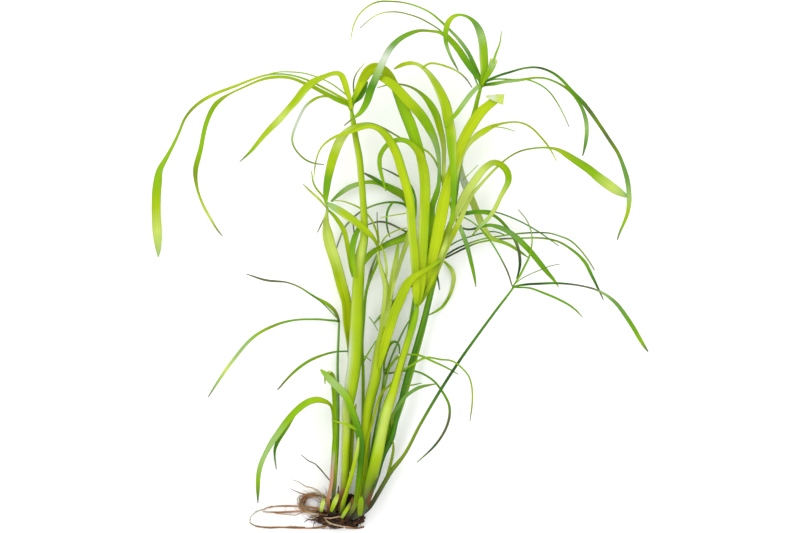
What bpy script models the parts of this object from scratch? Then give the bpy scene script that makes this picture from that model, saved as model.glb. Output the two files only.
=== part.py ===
"""Bare-root umbrella sedge, lying on its back on a surface.

Each culm, leaf and root is a strand: a smooth route on a plan sheet, with its width at each point.
The sheet is in millimetres, x to the right and y down. The strands are listed from the lowest to the
topmost, and each one is laid over those that it crosses, which gives the heights.
"""
import math
from collections import namedtuple

import bmesh
import bpy
import numpy as np
from mathutils import Matrix, Vector, noise

MM = 0.001
SHEET_CENTRE = (400.28, 265.32)

# Cross-sections
LEAF_THICKNESS = 1.1
TIP_THICKNESS = 0.6
JOINED_THICKNESS = 0.75
MOST_TURN = 45.0
FLAT_START = 25.0
CROWN_FLAT_START = 110.0
STOUT_CULM = 4.0
CHORD_ERROR = 0.4
SHORT_STATION = 4.5
LONG_STATION = 28.0

# Laying the strands over each other
STEP = 4.0
GAP = 0.5
SIDE_MARGIN = 1.2
BUMP_REACH = 16.0
LEVEL_PITCH = 1.4
JOINED_REACH = 14.0
HEAD_REACH = 9.0
ROUNDS = 4

# The rootstock, a lump with a flat underside
LUMP_CENTRE = (341.0, 518.0, 12.5)
LUMP_HALF = (27.0, 12.0, 15.0)
LUMP_ROUGHNESS = 0.10
SOCKET_GAP = 0.3

LIME = (0.40, 0.58, 0.03)
GREEN = (0.16, 0.36, 0.02)
DARK_GREEN = (0.05, 0.17, 0.02)
BLUE_GREEN = (0.07, 0.21, 0.07)
OLIVE = (0.22, 0.30, 0.03)
PALE_GREEN = (0.52, 0.66, 0.18)
DRY_TAN = (0.42, 0.20, 0.07)
ROOT_BROWN = (0.10, 0.045, 0.02)

Strand = namedtuple("Strand", "name node form host level base rise tip colour route")
STRANDS = []


def culm(name, base, head, colour, route):
    """A round stem from the rootstock up to its head."""
    STRANDS.append(Strand(name, name, "culm", None, 0, base, 0.0, head, colour, route))


def leaf(name, host, level, rise, tip, colour, route, node=None):
    """A blade that starts on its host, above it (level > 0), below it or joined to it (level 0)."""
    STRANDS.append(Strand(name, node or name, "leaf", host, level, 0.0, rise, tip, colour, route))


def basal_leaf(name, base, rise, tip, colour, route):
    """A blade that comes out of the rootstock."""
    STRANDS.append(Strand(name, name, "leaf", None, 0, base, rise, tip, colour, route))


def root(name, route):
    """A root that runs out of the rootstock and lies on the surface."""
    STRANDS.append(Strand(name, "rootstock", "root", None, 0, 7.0, 0.0, 0.0, ROOT_BROWN, route))


def list_roots():
    root("root_low", [(338, 520, 3), (325, 527, 2.2), (310, 529, 1.8), (280, 528, 1.7), (258, 527, 1.6),
                      (249, 523.5, 1.5), (250, 517.5, 1.5), (255, 513, 1.4), (262, 510, 1.3)])
    root("root_upper", [(330, 516, 3), (316, 512, 2.4), (300, 512, 2.2), (280, 513, 2.1), (262, 512.5, 1.4)])
    root("root_top", [(328, 512, 3), (315, 508.5, 2.4), (303, 507.5, 2), (285, 506.5, 1.9),
                      (269, 507.5, 1.4)])
    root("root_ring", [(329, 508, 3.4), (325, 498, 4), (316, 494.5, 4.4), (306, 496, 4), (301, 501.5, 3),
                       (301, 507, 2.4), (305, 512, 2.2), (318, 515, 2.4), (332, 517, 3)])
    root("root_right", [(344, 524, 3), (350, 528, 2.4), (358, 529.4, 1.8), (364, 527, 1.2)])


def list_hidden_leaves():
    """The lowest strands: those behind the middle of the plant."""
    culm("culm_hidden_middle", 5, 6, GREEN, [
        (354, 516, 3), (364, 500, 3), (372, 475, 3), (382, 440, 3), (390, 410, 3), (398, 380, 3),
        (406, 345, 3), (412, 312, 3), (416, 280, 3), (415, 250, 2.6), (413, 222, 2)])
    leaf("leaf_hidden_left", "culm_hidden_middle", 0, 2, 5, DARK_GREEN, [
        (413.3, 224, 1.6), (409, 210, 2.6), (405, 204, 2.8), (398, 202.5, 2.5), (390, 202, 2.1),
        (380, 203.5, 1.9), (372, 206, 1.9), (360, 212, 1.9), (349, 222, 2), (344, 228, 2), (341, 235, 1.8),
        (336, 249, 1.2)],
        node="culm_hidden_middle")
    leaf("leaf_hidden_low", "culm_hidden_middle", 0, 1, 4, DARK_GREEN, [
        (414.5, 240, 2), (408, 233, 2), (398, 227.5, 2), (385, 222, 2), (378, 221.5, 2), (368, 224.5, 1.2)],
        node="culm_hidden_middle")
    leaf("leaf_hidden_grey", "culm_hidden_middle", 0, 1, 4, OLIVE, [
        (416, 286, 2.6), (411, 285, 3.2), (405, 290, 4), (399, 297, 4), (387, 309, 4), (380, 317, 3.2),
        (373.5, 324, 1.2)], node="culm_hidden_middle")
    leaf("leaf_lower_left", "culm_hidden_middle", 1, 1, 6, DARK_GREEN, [
        (411.5, 227, 5), (407, 236, 7), (403, 238, 8), (396, 241, 7), (388, 244, 6), (380, 248.5, 5),
        (375, 250.5, 5), (370, 254, 6), (366, 259, 6), (363, 265, 3)])
    leaf("leaf_upper_left", "culm_hidden_middle", 2, 2, 8, BLUE_GREEN, [
        (412, 219, 4), (409, 205, 6), (402, 194, 8), (395, 190.5, 8), (388, 187, 7), (380, 183.5, 5),
        (372, 182, 4), (364, 182.5, 3.5), (357, 184.5, 4.5), (350, 187, 5), (344, 190.5, 5), (338, 195, 4),
        (331, 201.5, 2)])
    leaf("leaf_upper_left_side", "leaf_upper_left", 0, 1, 9, DARK_GREEN, [
        (386, 186.5, 4), (377, 180, 4), (370, 176, 3.2), (364, 173, 1.6)], node="leaf_upper_left")
    leaf("leaf_hidden_top", "culm_hidden_middle", 0, 1, 10, DARK_GREEN, [
        (413.6, 226, 2), (416, 210, 2), (415, 196, 2), (410, 184, 2), (401, 177.5, 2), (391, 172, 1.8),
        (382, 168, 1)], node="culm_hidden_middle")
    culm("culm_hidden_right", 8, 8, DARK_GREEN, [
        (357, 514, 2.6), (374, 485, 2.6), (385, 455, 2.6), (396, 425, 2.6), (406, 395, 2.6), (416, 360, 2.6),
        (424, 330, 2.6), (431, 300, 2.6), (437, 275, 2.4), (441.5, 259, 2)])
    leaf("leaf_right_fine", "culm_hidden_right", 0, 6, 6, DARK_GREEN, [
        (440.8, 261, 1.4), (451, 245, 1.4), (458, 241, 1.4), (466, 238, 1.4), (475, 235, 1.4),
        (483, 233, 1.4), (490, 231.5, 1.4), (498, 232, 1.3), (505, 235, 0.9)], node="culm_hidden_right")
    leaf("leaf_right_hook", "culm_hidden_right", -1, -2, 3, DARK_GREEN, [
        (443.5, 261, 2), (448, 265, 3), (452, 270, 4.5), (454, 276, 4.5), (453.5, 284, 4), (451, 293, 3.5),
        (447, 301, 3), (442, 307.5, 3), (436, 311.5, 2.5), (428, 315.5, 1)])
    leaf("leaf_right_long", "culm_hidden_right", 1, 8, 2, BLUE_GREEN, [
        (443.5, 259, 2), (455, 253, 2), (465, 248, 2), (475, 243.5, 1.8), (495, 239.5, 1.8), (525, 238, 1.6),
        (540, 237.8, 1.6), (550, 239, 1.8), (560, 242, 2), (570, 248, 2.4), (580, 256, 2.8), (586, 263, 3.4),
        (591, 273, 3.4), (596, 283, 2.6), (604, 300, 1)])
    leaf("leaf_right_long_upper", "culm_hidden_right", 2, 12, 4, DARK_GREEN, [
        (443.5, 257, 2), (455, 249.5, 2), (465, 245, 1.8), (475, 241, 1.6), (500, 236, 1.5),
        (525, 233, 1.5), (540, 232.5, 1.5), (550, 233, 1.5), (560, 236, 1.6), (570, 240, 1.6),
        (580, 249, 1.6), (588, 259, 1.4), (595, 270, 1)])


def list_left_back():
    """The short back culms, the thin left one and what grows beside them."""
    culm("culm_short_back", 8, 9, DARK_GREEN, [
        (352, 515, 2.2), (364, 490, 2.2), (370, 460, 2.2), (375, 430, 2.2), (379, 410, 2.2), (382, 392, 2.2),
        (384.5, 373, 2)])
    leaf("leaf_back_up", "culm_short_back", 0, 2, 10, DARK_GREEN, [
        (384.2, 376, 1.6), (384, 362, 2.6), (386, 354, 3), (389, 346, 3), (392, 342, 3), (396, 341, 2.4),
        (399, 345, 2), (399.5, 354, 1.2)], node="culm_short_back")
    leaf("leaf_back_straight", "culm_short_back", 0, 1, 10, BLUE_GREEN, [
        (384, 378, 1.5), (394, 351, 2), (402, 334, 2), (406, 326, 1.8), (410, 319.5, 1)],
        node="culm_short_back")
    culm("culm_thin_back", 9, 11, DARK_GREEN, [
        (348, 516, 3), (358, 490, 3), (361, 460, 3), (362.5, 430, 3), (363, 400, 3), (363, 370, 3),
        (362, 345, 3), (364, 315, 3), (365, 300, 3), (367, 288, 3), (371, 277, 3), (375, 268, 3),
        (378, 260, 2.6), (378.5, 248, 2.2)])
    leaf("leaf_back_left", "culm_thin_back", 0, 2, 14, DARK_GREEN, [
        (378.4, 251, 1.6), (377, 233, 2), (374, 225, 2), (371, 219, 1.8), (367, 214, 1.8), (360, 208, 1.8),
        (350, 203.5, 1.6), (343, 201, 1.4), (334, 200.5, 1)], node="culm_thin_back")
    leaf("leaf_back_right", "culm_thin_back", 0, 1, 10, DARK_GREEN, [
        (378.3, 254, 1.5), (386, 236, 1.6), (392, 232.5, 1.5), (400, 229, 1.4), (407, 228, 1)],
        node="culm_thin_back")
    basal_leaf("leaf_broad_left", 9, 2, 20, LIME, [
        (343, 515, 3.6), (344.6, 500, 4.5), (346, 460, 5), (348, 420, 5), (350, 385, 6), (351, 355, 8),
        (350, 340, 9), (348, 325, 10), (345.7, 300, 10), (342.4, 288, 11.2), (336.6, 266, 11),
        (333.3, 255, 11.4), (330, 245, 11.4), (327.4, 235, 10.4), (325.8, 226, 7), (326.6, 214, 3),
        (327.2, 206, 2.4), (323.5, 197, 2.2), (318, 191, 2), (314, 185, 1.8), (311.5, 171, 1)])
    leaf("leaf_broad_left_right", "leaf_broad_left", 0, 1, 12, DARK_GREEN, [
        (327.2, 209, 1.8), (334, 215.5, 3.8), (339.5, 223, 4.6), (343.8, 230, 5), (346.3, 239, 4.8),
        (348, 248, 5), (349.6, 257, 5), (351, 267, 4.6), (352.5, 277, 1.8)], node="leaf_broad_left")
    leaf("leaf_broad_left_spur", "leaf_broad_left", 0, 1, 18, DARK_GREEN, [
        (327.2, 208.5, 1.5), (318, 198, 2.8), (310, 191, 2.2), (303, 184, 1)], node="leaf_broad_left")
    culm("culm_thin_left", 9, 9, BLUE_GREEN, [
        (337, 516, 3), (334, 500, 3), (335, 485, 3), (336, 470, 3), (337, 455, 3), (338, 425, 3),
        (338, 395, 2.8), (337.5, 365, 2.6), (338.5, 335, 2.4), (339, 322, 2)])
    leaf("leaf_left_low", "culm_thin_left", -1, 4, 0.3, DARK_GREEN, [
        (338, 321, 2.2), (330, 320.5, 2.2), (320, 319.5, 2), (310, 319.5, 2), (300, 319.7, 2),
        (290, 321, 2.2), (280, 323.5, 2.6), (270, 327.5, 3), (260, 332.5, 3), (250, 340, 3.5),
        (242, 348.5, 3.5), (235, 357.5, 3.5), (228, 366.5, 3.2), (222, 375, 3), (216, 384, 2.4),
        (207.5, 397.5, 0.8)])
    leaf("leaf_left_upper", "culm_thin_left", 1, 8, 6, DARK_GREEN, [
        (338.5, 319.5, 2.6), (336, 313, 3.5), (331, 307, 4), (325, 302.5, 3.5), (318, 299, 2.5),
        (310, 294, 2), (300, 287.5, 1.8), (292, 284, 1.6), (285, 282, 1.6), (278, 281.5, 2),
        (270, 281, 2.2), (262, 279.5, 2), (255, 277, 1.8), (246, 274, 1)])
    leaf("leaf_left_middle", "culm_left", -1, 2, 3, GREEN, [
        (352, 351, 1.6), (345, 351.3, 1.6), (338, 351.5, 1.8), (330, 353, 2.2), (322, 355.5, 2.5),
        (315, 358, 3), (308, 361.5, 3), (300, 367, 3), (293, 373, 2.8), (286, 380, 2.3), (280, 387, 1.8),
        (277, 390.5, 1)])


def list_right_side():
    """The dark culms with their heads, the slanting culm and the short right leaves."""
    leaf("leaf_short_back", "culm_short_back", 2, 4, 2, OLIVE, [
        (385.5, 374, 1.8), (392, 373, 2), (405, 371, 2), (414, 371, 2), (420, 372.5, 2), (427, 376, 2),
        (434, 381, 2), (440, 388, 2.2), (445, 396, 2.5), (449, 404, 2.6), (450, 411, 2.8), (449, 420, 2.8),
        (446, 429, 2.6), (441, 438, 2.4), (435, 446, 2.2), (427, 454, 1.6), (417, 463, 0.8)])
    leaf("leaf_right_pale", "culm_tall", -1, 2, 8, PALE_GREEN, [
        (461, 164, 3), (462, 175, 6), (465, 184, 8), (469, 193, 7.5), (473, 202, 7), (477, 212, 7),
        (481, 222, 7), (486, 232, 6.5), (491, 238, 5), (500, 241, 3.5), (510, 245, 3), (518, 250, 3),
        (529, 258, 1)])
    culm("culm_tall", 10, 32, DARK_GREEN, [
        (353, 516, 4.5), (364, 500, 4.5), (370, 490, 4.5), (378, 465, 4.5), (386, 440, 4.5), (393, 418, 4.5),
        (403, 395, 4.5), (413, 366, 4.5), (422, 333, 4.5), (427, 312, 4.5), (433, 287, 4.5), (440, 262, 4.5),
        (447, 238, 4.5), (452, 218, 4.5), (455, 200, 4.5), (457.5, 180, 4.5), (460.5, 162, 4.5),
        (464, 145, 4.5), (469, 128, 4.5), (475, 110, 4.5), (478, 97, 4.2), (481, 87, 2.6)])
    culm("culm_dark", 12, 22, DARK_GREEN, [
        (356, 515, 4.5), (370, 494, 5), (377, 475, 6), (381, 459, 7), (384, 452, 6.5), (390, 442, 6),
        (396, 420, 5.5), (401, 400, 5), (407, 376, 5), (411, 362, 4.5), (419, 335, 4.5), (427, 305, 4.5),
        (431, 288, 4.2), (436, 268, 4), (442, 247, 4), (448, 230, 3.6), (453, 217, 2.4)])
    leaf("leaf_dark_side", "culm_dark", 0, 2, 16, OLIVE, [
        (393.4, 430, 3), (392, 420, 3.4), (393, 415, 4), (398, 407, 4), (403, 399, 4), (408, 394, 3.5),
        (414, 390, 3.5), (420, 387, 3.5), (427, 385.5, 2.5), (436, 384, 1)], node="culm_dark")
    leaf("leaf_fan_fine", "culm_dark", 0, 3, 12, DARK_GREEN, [
        (452, 219.5, 1.6), (457, 214, 1.6), (470, 211.5, 1.4), (485, 210.5, 1.4), (495, 212, 1.4),
        (515, 219, 1.4), (535, 229.5, 1.4), (545, 236, 1.4), (559, 246, 0.9)], node="culm_dark")
    leaf("leaf_fan_arch", "culm_dark", 2, 10, 6, DARK_GREEN, [
        (455.5, 215, 2.4), (466, 213.5, 4), (476, 212, 4.5), (486, 212.5, 4), (494, 215.5, 3), (500, 220, 3),
        (508, 229, 3), (514, 238, 3), (518, 247, 3), (520, 257, 3), (520, 267, 2.8), (517, 279, 1.4)])
    leaf("leaf_fan_broad", "culm_dark", 3, 12, 8, DARK_GREEN, [
        (455.5, 219, 1.8), (459, 226, 1.8), (464, 229, 2), (470, 229.5, 2), (477, 228, 2.5), (484, 225.5, 3),
        (490, 225, 3), (497, 226.5, 4), (505, 229.5, 5), (512, 234, 5.5), (520, 241, 6), (530, 251, 5.5),
        (540, 263, 5.5), (548, 273, 4.5), (555, 281, 3), (559, 287, 1)])
    leaf("leaf_fan_down", "culm_dark", 4, 4, 16, BLUE_GREEN, [
        (455, 217.5, 2.6), (459, 225, 4.5), (463, 235, 4.5), (467, 246, 4.5), (470, 257, 4), (473, 270, 3.5),
        (475, 280, 2.6), (476, 287, 1)])
    leaf("leaf_fan_upper", "culm_dark", 5, 6, 14, GREEN, [
        (454.5, 213.5, 2.6), (455, 200, 3), (455.5, 182, 3), (458, 170, 3), (461, 160, 3), (465, 150, 3.5),
        (470, 142, 5), (478, 135, 6.5), (486, 130, 6), (492, 126.5, 4), (500, 124, 2.2), (508, 122.5, 1.9),
        (517, 122, 1.8), (524, 123.5, 2), (532, 128, 2), (540, 136, 2), (547, 144, 2), (557, 161, 1)])
    leaf("leaf_short_fine", "culm_short_back", 0, 6, 12, GREEN, [
        (380.6, 402, 1.4), (385, 385, 1.8), (392, 363, 2), (400, 356.5, 1.7), (408, 354.5, 1.8),
        (417, 354.5, 2), (424, 357, 2.2), (432, 361, 2.2), (440, 364.5, 2), (448, 368.5, 1.8),
        (458.5, 374.5, 1)], node="culm_short_back")
    culm("culm_slanting", 12, 30, OLIVE, [
        (357, 516, 4.5), (368, 509, 4.5), (376, 497, 4.5), (386, 480, 4.5), (392, 470, 4.5), (398, 463, 4.2),
        (402, 458, 3.4), (420, 425, 3.1), (440, 391, 3), (460, 360, 3), (480, 332, 2.8), (500, 305, 2.6),
        (507, 296, 2.4), (513.5, 287.2, 2)])
    leaf("leaf_slanting_side", "culm_slanting", 0, 1, 22, OLIVE, [
        (386, 480, 3), (389, 470, 3), (392, 458, 3), (393.5, 448, 2.6), (393, 440, 1.2)],
        node="culm_slanting")
    leaf("leaf_side_up", "culm_slanting", 0, 4, 24, OLIVE, [
        (511.5, 288.5, 1.4), (520, 275, 2.4), (525, 265, 2.1), (529, 257, 2), (531, 248, 1.6),
        (532, 238, 1.3), (530, 228, 1.2), (526, 219, 1.1), (518, 209.5, 0.9)], node="culm_slanting")
    leaf("leaf_side_back", "culm_slanting", 0, 6, 34, DARK_GREEN, [
        (512.5, 288, 1.4), (507.5, 272, 1.8), (501.5, 260, 1.8), (494, 247, 1.7), (487, 236.5, 1.6),
        (477, 226, 1.5), (466, 218.5, 1.4), (458, 215, 1)], node="culm_slanting")
    leaf("leaf_side_short", "culm_slanting", -1, 2, 12, GREEN, [
        (515, 287.5, 1.6), (530, 288, 2), (540, 291.5, 2.3), (550, 295.5, 2.5), (560, 300, 2.5),
        (570, 305.5, 2.3), (577, 311, 2), (583, 317.5, 0.8)])
    leaf("leaf_side_long", "culm_slanting", 1, 6, 0.3, DARK_GREEN, [
        (515, 286, 2.2), (525, 284.5, 2.5), (540, 283.5, 2.5), (555, 283, 2.3), (570, 284, 2),
        (585, 286.5, 1.8), (597, 290, 1.9), (608, 296, 3), (618, 305, 4), (626, 316, 4.5), (634, 328, 4.5),
        (641, 340, 4), (646, 348, 2.6), (649, 352, 1)])


def list_left_front():
    """The middle and left culms, the left head and the basal leaves at the left."""
    culm("culm_middle", 14, 22, LIME, [
        (350, 515, 4), (358, 505, 5), (360, 490, 6), (363, 470, 9), (365, 450, 10), (366, 430, 10),
        (368, 410, 10), (371, 395, 11), (375, 380, 11), (377, 365, 10.5), (379.5, 350, 11), (381, 342, 10.5),
        (382.5, 335, 8.5), (383.5, 318, 6.5), (386, 295, 6.3), (386, 285, 6), (384, 278, 5), (381, 268, 3.5),
        (378.5, 258, 2.4), (378, 251, 1.8)])
    leaf("leaf_fork_middle", "culm_middle", 0, 3, 26, PALE_GREEN, [
        (382.5, 336, 5), (386, 322, 5.5), (388, 310, 5), (390, 300, 5), (391, 290, 5.5), (393, 275, 5.5),
        (395.5, 262, 5), (397.5, 250, 4), (398, 244, 2)], node="culm_middle")
    leaf("leaf_fork_right", "leaf_fork_middle", 0, 2, 26, PALE_GREEN, [
        (390.7, 299, 2.2), (393.6, 284, 3.4), (397, 272, 4), (401, 259, 4.5), (405, 247, 5), (409, 236, 5.5),
        (411, 225, 5), (412, 215, 2)], node="culm_middle")
    basal_leaf("leaf_lime_long", 16, 8, 3, LIME, [
        (351, 516, 3), (358, 500, 3), (360, 485, 3), (363, 470, 2.8), (366, 450, 2.6), (368, 438, 2.5),
        (372, 423, 2.5), (376, 408, 2.5), (379, 398, 2.4), (383, 391, 2.4), (389, 386, 2.2), (396, 377, 2),
        (404, 369, 1.9), (410, 366, 1.9), (420, 359.5, 2.2), (425, 357.5, 2.2), (432, 357.5, 2),
        (440, 359.5, 1.9), (450, 360, 1.8), (455, 362, 1.8), (460, 366, 1.8), (465, 371, 1.8),
        (469, 376, 1.8), (471, 382, 1.8), (472.5, 402, 1.8), (471.5, 412, 1.5), (470, 422, 0.8)])
    culm("culm_bright", 17, 36, LIME, [
        (352, 516, 8), (363, 508, 9), (366, 500, 9), (370, 485, 11.5), (374, 468, 11.5), (378, 450, 12),
        (382, 430, 11), (386, 413, 11), (390, 400, 10), (394, 388, 8.5), (397.6, 375, 8), (402, 360, 7.4),
        (405.2, 350, 7), (408.2, 340, 6.8), (411.4, 330, 6.8), (414.4, 320, 6.4), (416.4, 311, 5.4),
        (417, 305, 3.4)])
    leaf("leaf_head_grey", "culm_left", -2, 3, 14, BLUE_GREEN, [
        (349.5, 104.5, 1.8), (340, 101, 2), (330, 97, 2), (322, 96.5, 2.2), (315, 99, 3), (309, 103, 3),
        (305, 107, 3), (301, 114, 3), (297, 123, 3), (293.5, 132, 2.6), (292, 140, 2.2), (294, 147, 2),
        (299, 154, 1.8), (306, 160, 1.8), (313, 163, 1.6), (324, 164.5, 0.9)])
    culm("culm_left", 15, 32, LIME, [
        (344, 517, 6), (341.5, 508, 7), (344, 490, 7.5), (345.5, 470, 8), (346, 450, 8), (347, 430, 9),
        (348, 405, 12), (351.4, 385, 13.4), (354.2, 365, 14), (355.8, 340, 13.4), (357, 320, 12.8),
        (357.5, 300, 12.2), (358.5, 280, 11.5), (359.8, 260, 11.4), (361.8, 250, 10.2), (364, 240, 8.4),
        (364.2, 220, 7.2), (363, 200, 6.6), (361.5, 180, 6.6),
        (359, 155, 6.6), (356, 140, 6.2), (353, 120, 5.4), (351.3, 110, 3)])
    leaf("leaf_spike", "culm_left", 0, -3, 20, DARK_GREEN, [
        (363.5, 221, 3), (358, 230, 5), (354, 240, 6.5), (352.4, 253, 6), (353.6, 266, 4.6),
        (356, 278, 1.6)], node="culm_left")
    leaf("leaf_over_culm", "culm_thin_back", 1, 8, 26, LIME, [
        (378, 246, 3), (373.5, 238, 4), (368, 232.5, 6), (362, 227.3, 6.8), (355, 221.6, 7.4),
        (348, 216.4, 8.2), (340, 211, 8), (333, 206.8, 6.4), (325.5, 202.6, 2.4)])
    leaf("leaf_head_inner", "culm_left", -1, 6, 4, GREEN, [
        (349.5, 105, 4), (340, 101, 5.2), (325, 93.5, 4.5), (313, 87, 4), (305, 84, 3.4), (295, 79.5, 3),
        (285, 77.5, 3.2), (275, 77.5, 3.4), (265, 79, 3), (255, 82.5, 2.5), (245, 87, 2.2), (235, 91.5, 2),
        (228, 95, 2.4), (222, 99, 4), (216, 104, 5), (212, 110, 5), (207.5, 120, 4.6), (204.5, 130, 4.5),
        (202.5, 140, 4.5), (200.5, 150, 5), (197.5, 160, 5.5), (195.3, 170, 5.2), (195.7, 180, 4),
        (197.5, 190, 2.8), (200.8, 200, 2.6), (205.3, 210, 3), (211, 220, 2.8), (217, 230, 2),
        (222, 236, 0.9)])
    leaf("leaf_head_long", "culm_left", 1, 13, 0.3, LIME, [
        (349.5, 102.5, 2.4), (340, 97, 2.5), (325, 89, 2.2), (310, 81.5, 2), (295, 76.5, 1.8),
        (280, 74.5, 1.8), (265, 76, 2), (250, 81, 2.5), (235, 87, 3), (220, 92.5, 3.2), (208, 98, 3.5),
        (200, 103, 3.5), (192, 110, 3.5), (184.5, 120, 3), (180.5, 130, 2.8), (176, 140, 3),
        (171, 150, 3.5), (165.5, 160, 5), (160, 170, 7.2), (158, 180, 9), (156.7, 190, 9.2),
        (156, 200, 9.2), (155.7, 210, 9.4), (156, 220, 9.6), (156.5, 230, 9.8), (157, 240, 8.4),
        (157.5, 250, 5), (157.5, 257, 1)])
    leaf("leaf_root_inner", "leaf_root_arch", -1, 4, 4, GREEN, [
        (329, 404, 1.6), (318, 401.5, 2), (309, 404, 2.5), (300, 409, 3), (293, 417, 3.5), (287, 427, 4.5),
        (281, 436, 4.5), (277, 443, 4), (274.5, 450, 3), (274.5, 457, 1.8), (276, 470, 1)])
    basal_leaf("leaf_root_arch", 14, 12, 3, GREEN, [
        (334, 516, 4), (333, 500, 4), (334.5, 485, 4), (335, 470, 4), (335, 455, 4), (334.5, 440, 4),
        (334, 425, 4), (333, 412, 3), (331, 405, 2.8), (326, 401.5, 4), (318, 399.5, 6), (310, 401, 7),
        (303, 405, 7), (296, 411, 7), (288, 420, 7), (280, 431, 6.5), (271, 444, 6), (265, 455, 5),
        (261, 464, 4.8), (258.5, 473, 5), (257.5, 490, 4), (257.5, 504, 0.8)])
    basal_leaf("leaf_dried_sheath", 18, 2, 24, DRY_TAN, [
        (330, 515, 4), (328, 500, 4), (331, 485, 4), (332.5, 465, 4), (334, 445, 4), (335, 425, 4),
        (334.5, 405, 4), (334, 390, 5), (333.4, 380, 6), (331.4, 373.8, 6), (327.8, 371.6, 2.6)])
    basal_leaf("leaf_shoot", 20, 4, 24, LIME, [
        (347, 517, 4.5), (355, 505, 4.5), (357, 490, 5), (359, 475, 6), (360.5, 460, 6.5), (361, 450, 7.5),
        (360, 438, 8), (357, 425, 7), (352, 410, 7), (348, 399, 7.5), (342, 391, 8), (335, 384, 8),
        (328, 377, 7), (323, 371.5, 4), (320.5, 369.5, 1.5)])
    culm("shoot_young", 22, 32, LIME, [
        (341, 515, 4), (343, 504, 5), (347, 491, 4.6), (351, 477, 4.6), (354.3, 464, 4.5), (356.6, 453, 4.5),
        (358, 445, 3.4), (358.6, 437, 1.5)])


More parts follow.
